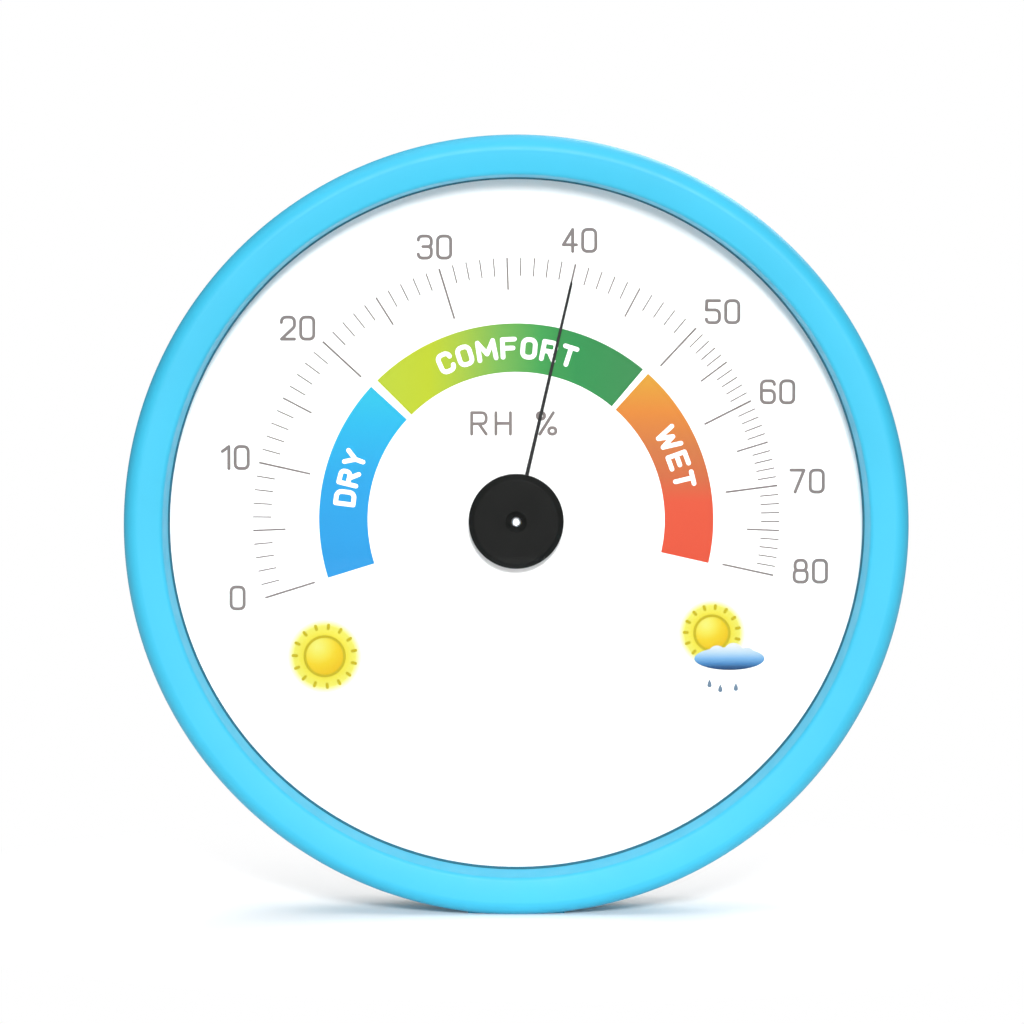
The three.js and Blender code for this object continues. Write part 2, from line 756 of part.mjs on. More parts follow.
const housing = group(
  part("bezel_ring", bezelRing(), skyBlue),
  part("lens", lens(), clear),
  part("spacer_ring", spacerRing(), skyBlue),
  part("dial_face", dialFace(), printedWhite),
  part("dial_carrier", dialCarrier(), whitePlastic),
  part("back_shell", backShell(), whitePlastic),
  part("stand_leg", standLeg(), whitePlastic, LEG_PIVOT),
  ...corners.map(([x, z], i) =>
    part(`carrier_screw_${i + 1}`, carrierScrew, steel, { x, y: SCREW_WELL.floor + GAP, z }),
  ),
);

const hygrometer = group(housing, movement, pointer);
hygrometer.position.z = AXIS_HEIGHT;

export default hygrometer;
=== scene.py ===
"""Looks of a dial hygrometer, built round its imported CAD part.

Sizes are millimetres. A point (x, y, z) is counted from the pointer axis and the printed dial
face: x to the right seen from the front, y towards the back, z up. `placed` turns it into metres
in the row frame. Clock angles are degrees clockwise from straight up, seen from the front.
"""

import math

import bmesh
import bpy
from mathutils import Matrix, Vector
from mathutils.geometry import delaunay_2d_cdt

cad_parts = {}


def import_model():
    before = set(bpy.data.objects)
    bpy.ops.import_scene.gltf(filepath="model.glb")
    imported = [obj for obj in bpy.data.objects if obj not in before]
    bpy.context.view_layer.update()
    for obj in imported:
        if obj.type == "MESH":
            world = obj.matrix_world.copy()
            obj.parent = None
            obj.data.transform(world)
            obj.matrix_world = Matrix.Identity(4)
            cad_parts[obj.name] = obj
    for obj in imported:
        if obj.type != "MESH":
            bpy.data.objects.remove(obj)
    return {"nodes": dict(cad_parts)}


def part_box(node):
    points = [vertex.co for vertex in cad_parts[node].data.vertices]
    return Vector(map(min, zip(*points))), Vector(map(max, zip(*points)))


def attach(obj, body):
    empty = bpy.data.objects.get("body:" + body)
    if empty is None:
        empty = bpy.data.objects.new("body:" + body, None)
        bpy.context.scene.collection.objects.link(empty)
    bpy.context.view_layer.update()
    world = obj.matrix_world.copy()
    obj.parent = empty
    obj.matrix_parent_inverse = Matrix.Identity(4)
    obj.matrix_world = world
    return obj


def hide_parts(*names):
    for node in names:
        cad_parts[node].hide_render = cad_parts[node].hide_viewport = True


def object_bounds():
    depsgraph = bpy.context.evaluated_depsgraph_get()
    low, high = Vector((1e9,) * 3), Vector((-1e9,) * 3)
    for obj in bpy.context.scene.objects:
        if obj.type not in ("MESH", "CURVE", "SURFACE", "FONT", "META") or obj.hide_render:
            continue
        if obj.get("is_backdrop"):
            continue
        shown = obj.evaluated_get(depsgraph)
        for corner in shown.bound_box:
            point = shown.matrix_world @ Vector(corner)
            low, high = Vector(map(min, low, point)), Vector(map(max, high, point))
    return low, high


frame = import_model()
CAD_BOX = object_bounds()

MM = 0.001
DIAL_LOW, DIAL_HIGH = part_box("dial_face")
DIAL_ORIGIN = Vector((0, DIAL_LOW.y, (DIAL_LOW.z + DIAL_HIGH.z) / 2))
TABLE_Z = -DIAL_ORIGIN.z / MM

FINE = 256  # segments of a large turned surface
MEDIUM = 96
SMALL = 48
OVERLAP = 0.2  # how far shapes that are joined reach into each other

# ---- Sizes shared with the CAD part ----

RING = {"radius": 65, "rear": 64.2, "front_y": -12, "side_y": -9, "rear_y": 0.5, "crest": 62.6}
INNER_WALL = {"lean": 1.2, "below_crest": 0.35, "round": 0.8}
# The ring's hollow skirt, with the shell's spigot between its bore and wall, and the lens pocket.
SKIRT = {"bore": 62.9, "core_y": -9.3, "wall": 61.2, "wall_rear_y": -4.2, "pocket": 60.2, "edge": 0.2}
WINDOW_RADIUS = 57.4
LENS_SEAT_Y = -6.25
LIP = {"straight": 0.35, "chamfer": 0.36, "depth": 0.75}  # the ring's lip in front of the window
LENS = {"radius": 60, "front_y": -6.15, "rear_y": -4.65}
SPACER = {"bore": 58.8, "outer": 60, "front_y": -4.55, "rear_y": -0.1}
DIAL = {"radius": 60.6, "hole": 3, "thickness": 0.4}
BACK_Y = 12
WALL = 1.8
SHELL = {"front": 63.6, "rear": 63, "bore": 61, "spigot": 62.6, "spigot_y": -3.8, "front_y": 0.8}
SHELL_EDGE = {"rear": 2.4, "front": 0.3, "inside": 0.8, "straight_y": 9, "break": 0.22}
FOOT = {"half": 8, "front_y": -9, "rear_y": 0.5, "pad_y": (1.6, 8.4), "sunk": 0.7, "pad_sunk": 0.6}
SCREW_SQUARE = 34
WELL = {"radius": 2.5, "floor_y": 9, "hole": 1.3, "post": 3.6, "post_y": 6}
SCREW = {"head": 2.1, "height": 1.3, "lift": 0.1, "shank": 0.95, "length": 5.8, "point": 6.6}
CROSS_SLOT = {"arm": 0.58, "half": 0.12, "floor": 0.45}  # shares of the head's radius and height
ADJUSTER_HOLE = 3.4
KEYHOLE = {"z": 45, "radius": 4.2, "slot": 2.2, "top": 53.5}
VENT = {"count": 9, "pitch": 25, "half": 1, "inner": 9, "outer": 30}
LEG = {"pivot_y": 10.4, "pivot_z": -17, "length": 44, "thick": 2.6, "top": 12, "tip": 10, "heel": 1.75}
LEG_EDGE = {"top": 0.5, "tip": 3, "break": 0.35}
LEG_RECESS = {"y": 8.4, "side": 0.5, "above": 0.6, "wall": 2.6, "round": 1.2}
LEG_STUB = {"radius": 0.9, "reach": 2.3, "play": 0.2, "end_play": 0.4}
LEG_WINDOW = {"half": 5.5, "above_tip": 12, "below_pivot": 7}
LEG_RIDGE = {"half": 5, "width": 0.9, "sunk": 0.3, "height": 0.2, "above_tip": (3.4, 5.4, 7.4)}
ADJUSTER = {"bore": 0.85, "flange": 2.9, "body": 1.9, "neck": 1.5, "head": 2.8}
ADJUSTER_Y = {"front": 7, "flange": 7.4, "bore": 9.5, "body": 9.6, "neck": 10.2, "back": 11.6}
DRIVER_SLOT = {"half": 0.45, "depth": 0.9}
HUB = {"radius": 7.9, "face_y": -3.7, "rear_y": -1.9, "bore": 0.85, "rim": 0.7, "cap": 0.9}
HUB_CHAMFER = {"across": 0.9, "deep": 0.6}
HUB_DIMPLE = {"floor": 1.1, "mouth": 1.8, "depth": 0.5}
HUB_SOCKET = {"radius": 2.4, "depth": 1.5}
NEEDLE = {"front_y": -1.7, "rear_y": -1.4, "reach": 41.2, "root": 2, "half": 0.32}
NEEDLE_TIP = {"half": 0.22, "length": 0.6}
NEEDLE_EYE = {"hole": 1.7, "radius": 3}
NEEDLE_TAIL = {"half": 1.4, "end": 7}
READING_ANGLE = 13

# ---- The print ----

INK = 0.03  # thickness of one layer of ink
DIAL_LIGHT = 1.8  # brightness of a white surface on the dial, where 1 is just white
# Clock angles of the tens on the scale; the ticks between two of them are evenly spaced.
SCALE = {0: -107.4, 10: -77.4, 20: -47.2, 30: -17, 40: 13, 50: 43, 60: 63, 70: 82.5, 80: 102.3}
TICK_OUTER = 43.8
TICK_INNER = {1: 40.7, 5: 38.4, 10: 35.1}
TICK_WIDTH = {1: 0.22, 5: 0.28, 10: 0.32}
# Hands of lettering: cap height, width of the stroke, gap between letters, widening of the letters.
NUMERAL = {"height": 4.2, "weight": 0.54, "gap": 0.5, "breadth": 1.06}
UNIT = {"height": 4.1, "weight": 0.52, "gap": 1.1, "breadth": 1.2}
ZONE_WORD = {"height": 3.7, "weight": 0.76, "gap": 0.59, "breadth": 1.22}
# Clock angle and radius of each numeral's middle.
NUMERAL_AT = {
    0: (-105.8, 48.2),
    10: (-77.5, 48.0),
    20: (-48.6, 48.4),
    30: (-16.6, 47.5),
    40: (12.7, 47.8),
    50: (44.6, 48.8),
    60: (63.8, 48.4),
    70: (82.4, 48.8),
    80: (100.0, 49.7),
}
UNIT_PLACE = (-0.4, 16.1)
ZONE = {"inner": 24.7, "outer": 32.8, "word_radius": 28.7}
# Middle (x, z) of each sun, radius of its disc and reach of its glow.
SUNS = {"print_sun": (-31.9, -22.9, 3.3, 6.9), "print_cloud_sun": (32.6, -19.0, 2.9, 6.2)}
SUN_RAY = {"count": 15, "start": 1.42, "end": 1.6, "weight": 0.5, "rim_weight": 0.45}
CLOUD = {"middle": (35.5, -23.3), "half_width": 5.85, "half_height": 1.9}
# Each puff of the cloud: share of the half width, height over the cloud's middle, radius.
PUFFS = [(-0.35, 0.7, 1.5), (0.12, 1.0, 1.65), (0.5, 0.6, 1.3)]
DROPS = [(-3.3, -4.4), (-1.5, -5.2), (1.1, -5.0)]  # (x, z) from the cloud's middle
DROP_OUTLINE = [(-0.42, -0.42, 0.4), (0.42, -0.42, 0.4), (0.3, 0.3, 0.3), (0, 0.95, 0.04), (-0.3, 0.3, 0.3)]

# ---- Studio, in metres ----

FLOOR = {"radius": 0.45, "plain": 0.035, "white": 0.11, "least_glow": 0.05}
LIGHT_TARGET = (0, 0, 0.06)
# Round soft lights: place, width and power in watts.
LIGHTS = {
    "key": ((0.06, -1.4, 0.58), 0.3, 24),
    "left": ((-0.8, -1.2, 0.3), 0.6, 2),
    "right": ((0.8, -1.2, 0.3), 0.6, 2),
    "top": ((0, 0, 1.1), 1.7, 11),
    "rear": ((0.5, 1.3, 0.9), 0.8, 12),
}
# Cosines of the angle off straight ahead between which the surroundings' light falls off.
FRONT_FALL = {"From Min": 0.78, "From Max": 0.96}
CAMERA = {"elevation": 6.5, "distance": 2.0, "aim": (-0.0007, RING["side_y"] * MM, 0.0671), "lens": 424.6}
SENSOR = 36

# ---- Colours ----


def srgb(red, green, blue):
    """Screen colour, 0 to 255 each, as a linear colour with alpha."""
    values = [c / 255 for c in (red, green, blue)]
    return (*[c / 12.92 if c <= 0.04045 else ((c + 0.055) / 1.055) ** 2.4 for c in values], 1)


def lit(red, green, blue):
    """Linear colour that shows as the given screen colour under the studio's light on the dial."""
    return (*[c / DIAL_LIGHT for c in srgb(red, green, blue)[:3]], 1)


WHITE_INK = srgb(250, 252, 250)
PAPER = srgb(250, 250, 249)
WINDOW_MIRROR = 0.25  # share of a bare clear plastic's mirroring

# ---- Outlines ----


def placed(point):
    return DIAL_ORIGIN + Vector(point) * MM


def clock(angle, radius):
    """(x, z) at a clock angle."""
    turn = math.radians(angle)
    return radius * math.sin(turn), radius * math.cos(turn)


def arc(centre, size, start, end, steps):
    """Points of an elliptical arc between two angles in degrees, counted from the first axis."""
    turns = (math.radians(start + (end - start) * i / steps) for i in range(steps + 1))
    return [(centre[0] + size[0] * math.cos(t), centre[1] + size[1] * math.sin(t)) for t in turns]


def circle(centre, radius, steps=SMALL):
    return arc(centre, (radius, radius), 0, 360, steps)[:-1]


def rounded(corners, closed=True, steps=5):
    """Outline through (u, v, radius) corners, each with its fillet."""
    points = []
    count = len(corners)
    for i, (u, v, radius) in enumerate(corners):
        if radius == 0 or (not closed and i in (0, count - 1)):
            points.append((u, v))
            continue
        here = Vector((u, v))
        before = Vector(corners[i - 1][:2]) - here
        after = Vector(corners[(i + 1) % count][:2]) - here
        half = before.angle(after) / 2
        room = [
            side.length * (0.499 if corners[(i + step) % count][2] else 0.999)
            for side, step in ((before, -1), (after, 1))
        ]
        reach = min(radius / math.tan(half), *room)
        radius = reach * math.tan(half)
        centre = here + (before.normalized() + after.normalized()).normalized() * radius / math.sin(half)
        first = here + before.normalized() * reach - centre
        last = here + after.normalized() * reach - centre
        turn = math.atan2(first.x * last.y - first.y * last.x, first.dot(last))
        for step in range(steps + 1):
            share = turn * step / steps
            c, s = math.cos(share), math.sin(share)
            points.append((centre.x + first.x * c - first.y * s, centre.y + first.x * s + first.y * c))
    return points


# ---- Closed shapes as (vertices, faces) ----


def lathe(profile, segments=FINE):
    """Body turned about the pointer axis from (radius, y) points. A profile that starts on the
    axis must end on it; any other closes on itself."""
    on_axis = profile[0][0] == 0
    vertices, rings = [], []
    for radius, y in profile:
        start = len(vertices)
        if radius == 0:
            vertices.append((0, y, 0))
            rings.append([start] * segments)
            continue
        for i in range(segments):
            x, z = clock(360 * i / segments, radius)
            vertices.append((x, y, z))
        rings.append([start + i for i in range(segments)])
    pairs = list(zip(rings, rings[1:])) + ([] if on_axis else [(rings[-1], rings[0])])
    faces = []
    for a, b in pairs:
        for i in range(segments):
            j = (i + 1) % segments
            loop = dict.fromkeys((a[i], a[j], b[j], b[i]))
            faces.append(tuple(loop))
    return vertices, faces


def plate(outline, y0, y1):
    """Flat plate of an (x, z) outline between two y planes."""
    count = len(outline)
    vertices = [(x, y, z) for y in (y0, y1) for x, z in outline]
    sides = [(i, (i + 1) % count, count + (i + 1) % count, count + i) for i in range(count)]
    return vertices, [tuple(range(count)), tuple(range(2 * count - 1, count - 1, -1)), *sides]


def rod(radius, y0, y1, centre=(0, 0), segments=SMALL):
    return plate(circle(centre, radius, segments), y0, y1)


def block(x, y, z):
    return plate([(x[0], z[0]), (x[1], z[0]), (x[1], z[1]), (x[0], z[1])], *y)


def combined(shapes):
    vertices, faces = [], []
    for more_vertices, more_faces in shapes:
        start = len(vertices)
        vertices += more_vertices
        faces += [tuple(start + i for i in face) for face in more_faces]
    return vertices, faces


def turned_about_axis(shape, angle):
    """The shape turned clockwise about the pointer axis."""
    turn = math.radians(angle)
    c, s = math.cos(turn), math.sin(turn)
    return [(x * c + z * s, y, z * c - x * s) for x, y, z in shape[0]], shape[1]


# ---- Blender objects ----


def solid(name, shape):
    """Blender object of a closed shape, its faces turned outwards."""
    mesh = bpy.data.meshes.new(name)
    mesh.from_pydata([placed(v) for v in shape[0]], [], shape[1])
    tidy = bmesh.new()
    tidy.from_mesh(mesh)
    bmesh.ops.recalc_face_normals(tidy, faces=tidy.faces)
    tidy.to_mesh(mesh)
    tidy.free()
    made = bpy.data.objects.new(name, mesh)
    bpy.context.scene.collection.objects.link(made)
    return made


def bake(made):
    """Turns the object's modifiers into mesh."""
    view = bpy.context.evaluated_depsgraph_get()
    view.update()
    mesh = bpy.data.meshes.new_from_object(made.evaluated_get(view))
    made.modifiers.clear()
    old, made.data = made.data, mesh
    bpy.data.meshes.remove(old)


def merge(made, tools, operation):
    """Cuts other objects out of an object, or joins or crosses it with them, and removes them."""
    for tool in tools:
        cut = made.modifiers.new("cut", "BOOLEAN")
        cut.operation, cut.solver, cut.object = operation, "EXACT", tool
    bake(made)
    for tool in tools:
        bpy.data.objects.remove(tool)


def carve(made, shapes, operation="DIFFERENCE"):
    """Cuts closed shapes out of an object, or does another operation with them."""
    merge(made, [solid(f"tool_{i}", shape) for i, shape in enumerate(shapes)], operation)


def soften(made, width, segments=2, angle=35):
    """Rounds every edge that is sharper than the angle."""
    bevel = made.modifiers.new("soften", "BEVEL")
    bevel.width, bevel.segments = width * MM, segments
    bevel.limit_method, bevel.angle_limit = "ANGLE", math.radians(angle)
    bake(made)


def show(made, material, body, replaces=(), sharp=32):
    """Finishes a piece: material, smooth shading between sharp edges, and the body it rides on."""
    made.data.materials.clear()
    made.data.materials.append(material)
    made.data.shade_smooth()
    made.data.set_sharp_from_angle(angle=math.radians(sharp))
    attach(made, body)
    if replaces:
        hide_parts(*replaces)
    return made


# ---- Materials ----


def node(tree, kind, inputs=None, **settings):
    """New node. An input value may be a socket, which is then linked."""
    made = tree.nodes.new(kind)
    for key, value in settings.items():
        setattr(made, key, value)
    for key, value in (inputs or {}).items():
        if isinstance(value, bpy.types.NodeSocket):
            tree.links.new(value, made.inputs[key])
        else:
            made.inputs[key].default_value = value
    return made


def new_material(name):
    material = bpy.data.materials.new(name)
    material.use_nodes = True
    material.node_tree.nodes.clear()
    return material, material.node_tree


def maths(tree, operation, *values):
    return node(tree, "ShaderNodeMath", dict(enumerate(values)), operation=operation).outputs[0]


def noise(tree, size, where=None, detail=3):
    """Cloudy values round 0.5 with features about as large as the size in millimetres."""
    where = where or node(tree, "ShaderNodeTexCoord").outputs["Object"]
    made = node(tree, "ShaderNodeTexNoise", {"Vector": where, "Scale": 1 / (size * MM), "Detail": detail})
    return made.outputs["Fac"]


def mixed(tree, share, first, second):
    made = node(tree, "ShaderNodeMix", {0: share, 6: first, 7: second}, data_type="RGBA")
    return made.outputs[2]


def between(tree, value, low, high):
    """The value, from 0.3 to 0.7, spread over another range."""
    sockets = {"Value": value, "From Min": 0.3, "From Max": 0.7, "To Min": low, "To Max": high}
    return node(tree, "ShaderNodeMapRange", sockets).outputs[0]


def finish_material(tree, **inputs):
    """Principled surface from its inputs; a key's underscores stand for spaces."""
    sockets = {key.replace("_", " "): value for key, value in inputs.items()}
    shader = node(tree, "ShaderNodeBsdfPrincipled", sockets)
    node(tree, "ShaderNodeOutputMaterial", {"Surface": shader.outputs[0]})


def relief(tree, height, depth):
    """Fine surface relief; the depth is in millimetres."""
    sockets = {"Height": height, "Distance": depth * MM, "Strength": 1.0}
    return node(tree, "ShaderNodeBump", sockets).outputs[0]


def shaded(colour, share):
    """A colour made lighter or darker."""
    return (*[min(1, c * share) for c in colour[:3]], 1)


def plastic(name, colour, roughness, grain, depth, shine=0.5):
    """Moulded plastic: faint flow mottling, uneven gloss and a fine grain."""
    material, tree = new_material(name)
    flow = between(tree, noise(tree, 18), 0, 1)
    base = mixed(tree, flow, shaded(colour, 0.965), shaded(colour, 1.02))
    gloss = between(tree, noise(tree, 4), roughness - 0.05, roughness + 0.05)
    grainy = relief(tree, noise(tree, grain, detail=5), depth)
    finish_material(tree, Base_Color=base, Roughness=gloss, Normal=grainy, Specular_IOR_Level=shine)
    return material


def metal(name, colour, roughness, lay, depth=0.002):
    """Metal with the marks of its making: "turned" rings about the pointer axis, or "rolled" lines."""
    material, tree = new_material(name)
    where = node(tree, "ShaderNodeTexCoord").outputs["Object"]
    parts = node(tree, "ShaderNodeSeparateXYZ", {0: where})
    x, y, z = parts.outputs
    if lay == "turned":
        height = maths(tree, "SUBTRACT", z, DIAL_ORIGIN.z)
        squares = maths(tree, "MULTIPLY", x, x), maths(tree, "MULTIPLY", height, height)
        radius = maths(tree, "SQRT", maths(tree, "ADD", *squares))
        marks = node(tree, "ShaderNodeCombineXYZ", {0: radius, 1: y}).outputs[0]
        stretch = (1, 1, 1)
    else:
        marks, stretch = where, (0.04, 1, 1)
    scaled = node(tree, "ShaderNodeVectorMath", {0: marks, 1: stretch}, operation="MULTIPLY").outputs[0]
    lines = noise(tree, 0.12, scaled, detail=2)
    stain = between(tree, noise(tree, 3), 0.9, 1.06)
    base = node(tree, "ShaderNodeVectorMath", {0: colour[:3], 1: stain}, operation="MULTIPLY").outputs[0]
    finish_material(
        tree, Base_Color=base, Metallic=1.0,
        Roughness=between(tree, lines, roughness - 0.08, roughness + 0.08),
        Normal=relief(tree, lines, depth),
    )
    return material


def paper(name, base):
    """Coated card: a socket or colour with a faint tooth in its surface."""
    material, tree = new_material(name)
    colour = base(tree) if callable(base) else base
    patch = between(tree, noise(tree, 6), 0.985, 1.0)
    tint = colour[:3] if isinstance(colour, tuple) else colour
    tinted = node(tree, "ShaderNodeVectorMath", {0: tint, 1: patch}, operation="MULTIPLY").outputs[0]
    finish_material(
        tree, Base_Color=tinted, Roughness=between(tree, noise(tree, 0.5), 0.5, 0.62),
        Normal=relief(tree, noise(tree, 0.15), 0.0015), Specular_IOR_Level=0.15,
    )
    return material


def gradient(measure, stops):
    """Colour that follows a measured value between the stops' own values, in millimetres."""
    low, high = stops[0][0], stops[-1][0]

    def build(tree):
        where = node(tree, "ShaderNodeTexCoord").outputs["Object"]
        local = node(tree, "ShaderNodeVectorMath", {0: where, 1: DIAL_ORIGIN}, operation="SUBTRACT")
        value = measure(tree, local.outputs[0])
        spread = {"Value": value, "From Min": low * MM, "From Max": high * MM}
        share = node(tree, "ShaderNodeMapRange", spread).outputs[0]
        ramp = node(tree, "ShaderNodeValToRGB", {0: share})
        elements = ramp.color_ramp.elements
        while len(elements) < len(stops):
            elements.new(0.5)
        for element, (at, colour) in zip(elements, stops):
            element.position, element.color = (at - low) / (high - low), colour
        return ramp.outputs[0]

    return build


def along_x(tree, local):
    return node(tree, "ShaderNodeSeparateXYZ", {0: local}).outputs[0]


def along_z(tree, local):
    return node(tree, "ShaderNodeSeparateXYZ", {0: local}).outputs[2]


def away_from(x, z):
    """Distance from a point on the dial."""

    def measure(tree, local):
        flat = {0: local, 1: (x * MM, 0, z * MM)}
        offset = node(tree, "ShaderNodeVectorMath", flat, operation="SUBTRACT").outputs[0]
        return node(tree, "ShaderNodeVectorMath", {0: offset}, operation="LENGTH").outputs["Value"]

    return measure


def clear_window():
    """Clear plastic that lets the light through to the dial and mirrors a little where a ray enters."""
    material, tree = new_material("clear_window")
    smear = relief(tree, noise(tree, 14, detail=1), 0.002)
    see_through = node(tree, "ShaderNodeBsdfTransparent", {"Color": (1, 1, 1, 1)}).outputs[0]
    mirror = node(tree, "ShaderNodeBsdfGlossy", {"Roughness": 0.03, "Normal": smear}).outputs[0]
    fresnel = node(tree, "ShaderNodeFresnel", {"IOR": 1.45, "Normal": smear}).outputs[0]
    leaving = node(tree, "ShaderNodeNewGeometry").outputs["Backfacing"]
    shadow = node(tree, "ShaderNodeLightPath").outputs["Is Shadow Ray"]
    unmirrored = maths(tree, "MAXIMUM", leaving, shadow)
    weak = maths(tree, "MULTIPLY", fresnel, WINDOW_MIRROR)
    share = maths(tree, "MULTIPLY", weak, maths(tree, "SUBTRACT", 1.0, unmirrored))
    mix = node(tree, "ShaderNodeMixShader", {0: share, 1: see_through, 2: mirror})
    node(tree, "ShaderNodeOutputMaterial", {"Surface": mix.outputs[0]})
    return material


SKY_BLUE = plastic("sky_blue_plastic", srgb(50, 164, 196), 0.5, 0.35, 0.0008, shine=0.3)
# Painted shade: a dark blue for the lip's faces, standing in for the shadow under the ring's lip.
PAINTED_SHADE_BLUE = plastic("painted_shade_blue_plastic", srgb(34, 92, 112), 0.6, 0.35, 0.0008, shine=0.2)
WHITE_PLASTIC = plastic("white_plastic", srgb(222, 225, 224), 0.5, 0.25, 0.006)
SMOOTH_WHITE = plastic("smooth_white_plastic", srgb(247, 249, 249), 0.42, 0.4, 0.002)
CHARCOAL = plastic("charcoal_plastic", srgb(16, 17, 16), 0.6, 0.3, 0.003, shine=0.1)
BLACK_PAINT = plastic("black_paint", srgb(22, 22, 23), 0.45, 0.2, 0.001, shine=0.25)
DIAL_CARD = paper("dial_card", PAPER)
GREY_INK = paper("grey_ink", srgb(116, 109, 107))
WHITE_PRINT = paper("white_ink", WHITE_INK)
STEEL = metal("bright_steel", srgb(196, 198, 202), 0.28, "rolled")
TURNED_STEEL = metal("turned_steel", srgb(215, 216, 218), 0.5, "turned")
BRASS = metal("turned_brass", srgb(214, 176, 92), 0.3, "turned")
COATED_STRIP = metal("coated_strip", srgb(150, 118, 70), 0.5, "rolled")
CLEAR = clear_window()

# ---- Case ----


def shade_lip(ring):
    """Painted shade: darker faces on the lip against the window, standing in for the shadow that falls there.
    """
    ring.data.materials.append(PAINTED_SHADE_BLUE)
    for face in ring.data.polygons:
        x, y, z = (face.center - DIAL_ORIGIN) / MM
        if math.hypot(x, z) < WINDOW_RADIUS + LIP["chamfer"] and y > LENS_SEAT_Y - LIP["depth"]:
            face.material_index = 1


def bezel_ring():
    side = (RING["radius"] - RING["crest"], RING["side_y"] - RING["front_y"])
    inner, edge = WINDOW_RADIUS, SKIRT["edge"]
    wall_front = RING["front_y"] + INNER_WALL["below_crest"]
    corners = [
        (inner, LENS_SEAT_Y, 0),
        (inner, LENS_SEAT_Y - LIP["straight"], 0.1),
        (inner + LIP["chamfer"], LENS_SEAT_Y - LIP["depth"], 0.2),
        (inner + INNER_WALL["lean"], wall_front, INNER_WALL["round"]),
        (RING["crest"], RING["front_y"], 0),
    ]
    inner_wall = rounded(corners, closed=False, steps=6)
    profile = [
        *inner_wall[:-1],
        *arc((RING["crest"], RING["side_y"]), side, -90, 0, 16),
        (RING["rear"], RING["rear_y"] - edge),
        (RING["rear"] - edge, RING["rear_y"]),
        (SKIRT["bore"], RING["rear_y"]),
        (SKIRT["bore"], SKIRT["core_y"]),
        (SKIRT["wall"], SKIRT["core_y"]),
        (SKIRT["wall"], SKIRT["wall_rear_y"]),
        (SKIRT["pocket"], SKIRT["wall_rear_y"]),
        (SKIRT["pocket"], LENS_SEAT_Y),
    ]
    ring = solid("bezel", lathe(profile))
    half = FOOT["half"]
    foot = block((-half, half), (FOOT["front_y"], FOOT["rear_y"]), (TABLE_Z, FOOT["sunk"] - RING["rear"]))
    below_table = block((-30, 30), (-20, 10), (TABLE_Z - 9, TABLE_Z))
    carve(ring, [foot], "UNION")
    carve(ring, [below_table])
    show(ring, SKY_BLUE, "case", ["bezel_ring"])
    # Painted shade on the lip where it meets the window.
    shade_lip(ring)


def window():
    radius, front, rear = LENS["radius"], LENS["front_y"], LENS["rear_y"]
    edge = rounded([(0, front, 0), (radius, front, 0.25), (radius, rear, 0.25), (0, rear, 0)], closed=False)
    show(solid("window", lathe(edge)), CLEAR, "case", ["lens"])


def spacer():
    front, rear = SPACER["front_y"], SPACER["rear_y"]
    corners = [
        (SPACER["bore"], front, 0.2),
        (SPACER["outer"], front, 0.2),
        (SPACER["outer"], rear, 0.1),
        (SPACER["bore"], rear, 0.1),
    ]
    profile = rounded(corners)
    show(solid("spacer", lathe(profile)), SKY_BLUE, "case", ["spacer_ring"])


def dial_card():
    hole, radius, back = DIAL["hole"], DIAL["radius"], DIAL["thickness"]
    disc = lathe([(hole, 0), (radius, 0), (radius, back), (hole, back)])
    show(solid("dial", disc), DIAL_CARD, "case", ["dial_face"])


def leg_area(margin, above, y0, y1):
    """The tapered area of the leg with a margin round it, run out past the rim at the bottom."""
    taper = (LEG["top"] - LEG["tip"]) / LEG["length"]
    top, bottom = LEG["pivot_z"] + LEG["heel"] + above, -RING["radius"]
    half_top = LEG["top"] + margin + taper * (top - LEG["pivot_z"])
    half_bottom = LEG["top"] + margin + taper * (bottom - LEG["pivot_z"])
    corners = [
        (-half_top, top, LEG_RECESS["round"]),
        (-half_bottom, bottom, 0),
        (half_bottom, bottom, 0),
        (half_top, top, LEG_RECESS["round"]),
    ]
    return plate(rounded(corners), y0, y1)


def long_slot(half, z0, z1, y0, y1, steps=12):
    """Upright slot with round ends."""
    top = arc((0, z1 - half), (half, half), 0, 180, steps)
    bottom = arc((0, z0 + half), (half, half), 180, 360, steps)
    return plate(top + bottom, y0, y1)


def cross_rod(radius, half_length, y, z):
    """Rod along X."""
    section = circle((y, z), radius, 32)
    vertices = [(x, v, w) for x in (-half_length, half_length) for v, w in section]
    return vertices, plate(section, 0, 0)[1]


def shell_profile():
    """Spigot that enters the ring, front edge, side wall and rounded back."""
    floor, wall = BACK_Y - WALL, SHELL["bore"]
    inside, edge = SHELL_EDGE["inside"], SHELL_EDGE["rear"]
    corners = [
        (SHELL["spigot"], SHELL["front_y"], 0),
        (SHELL["front"], SHELL["front_y"], SHELL_EDGE["front"]),
        (SHELL["rear"], SHELL_EDGE["straight_y"], 0),
    ]
    front_edge = rounded(corners, closed=False)
    return [
        (0, floor),
        (wall - inside, floor),
        (wall, floor - inside),
        (wall, SHELL["spigot_y"]),
        (SHELL["spigot"], SHELL["spigot_y"]),
        *front_edge[:-1],
        *arc((SHELL["rear"] - edge, BACK_Y - edge), (edge, edge), 0, 90, 10),
        (0, BACK_Y),
    ]


def leg_tray(floor):
    """Raised floor behind the leg's recess, trimmed to the inside of the shell."""
    wall = LEG_RECESS["wall"]
    tray = solid("tray", leg_area(wall, wall, LEG_RECESS["y"] - WALL, floor))
    carve(tray, [rod(SHELL["bore"] + 2 * OVERLAP, 0, BACK_Y, segments=FINE)], "INTERSECT")
    return tray


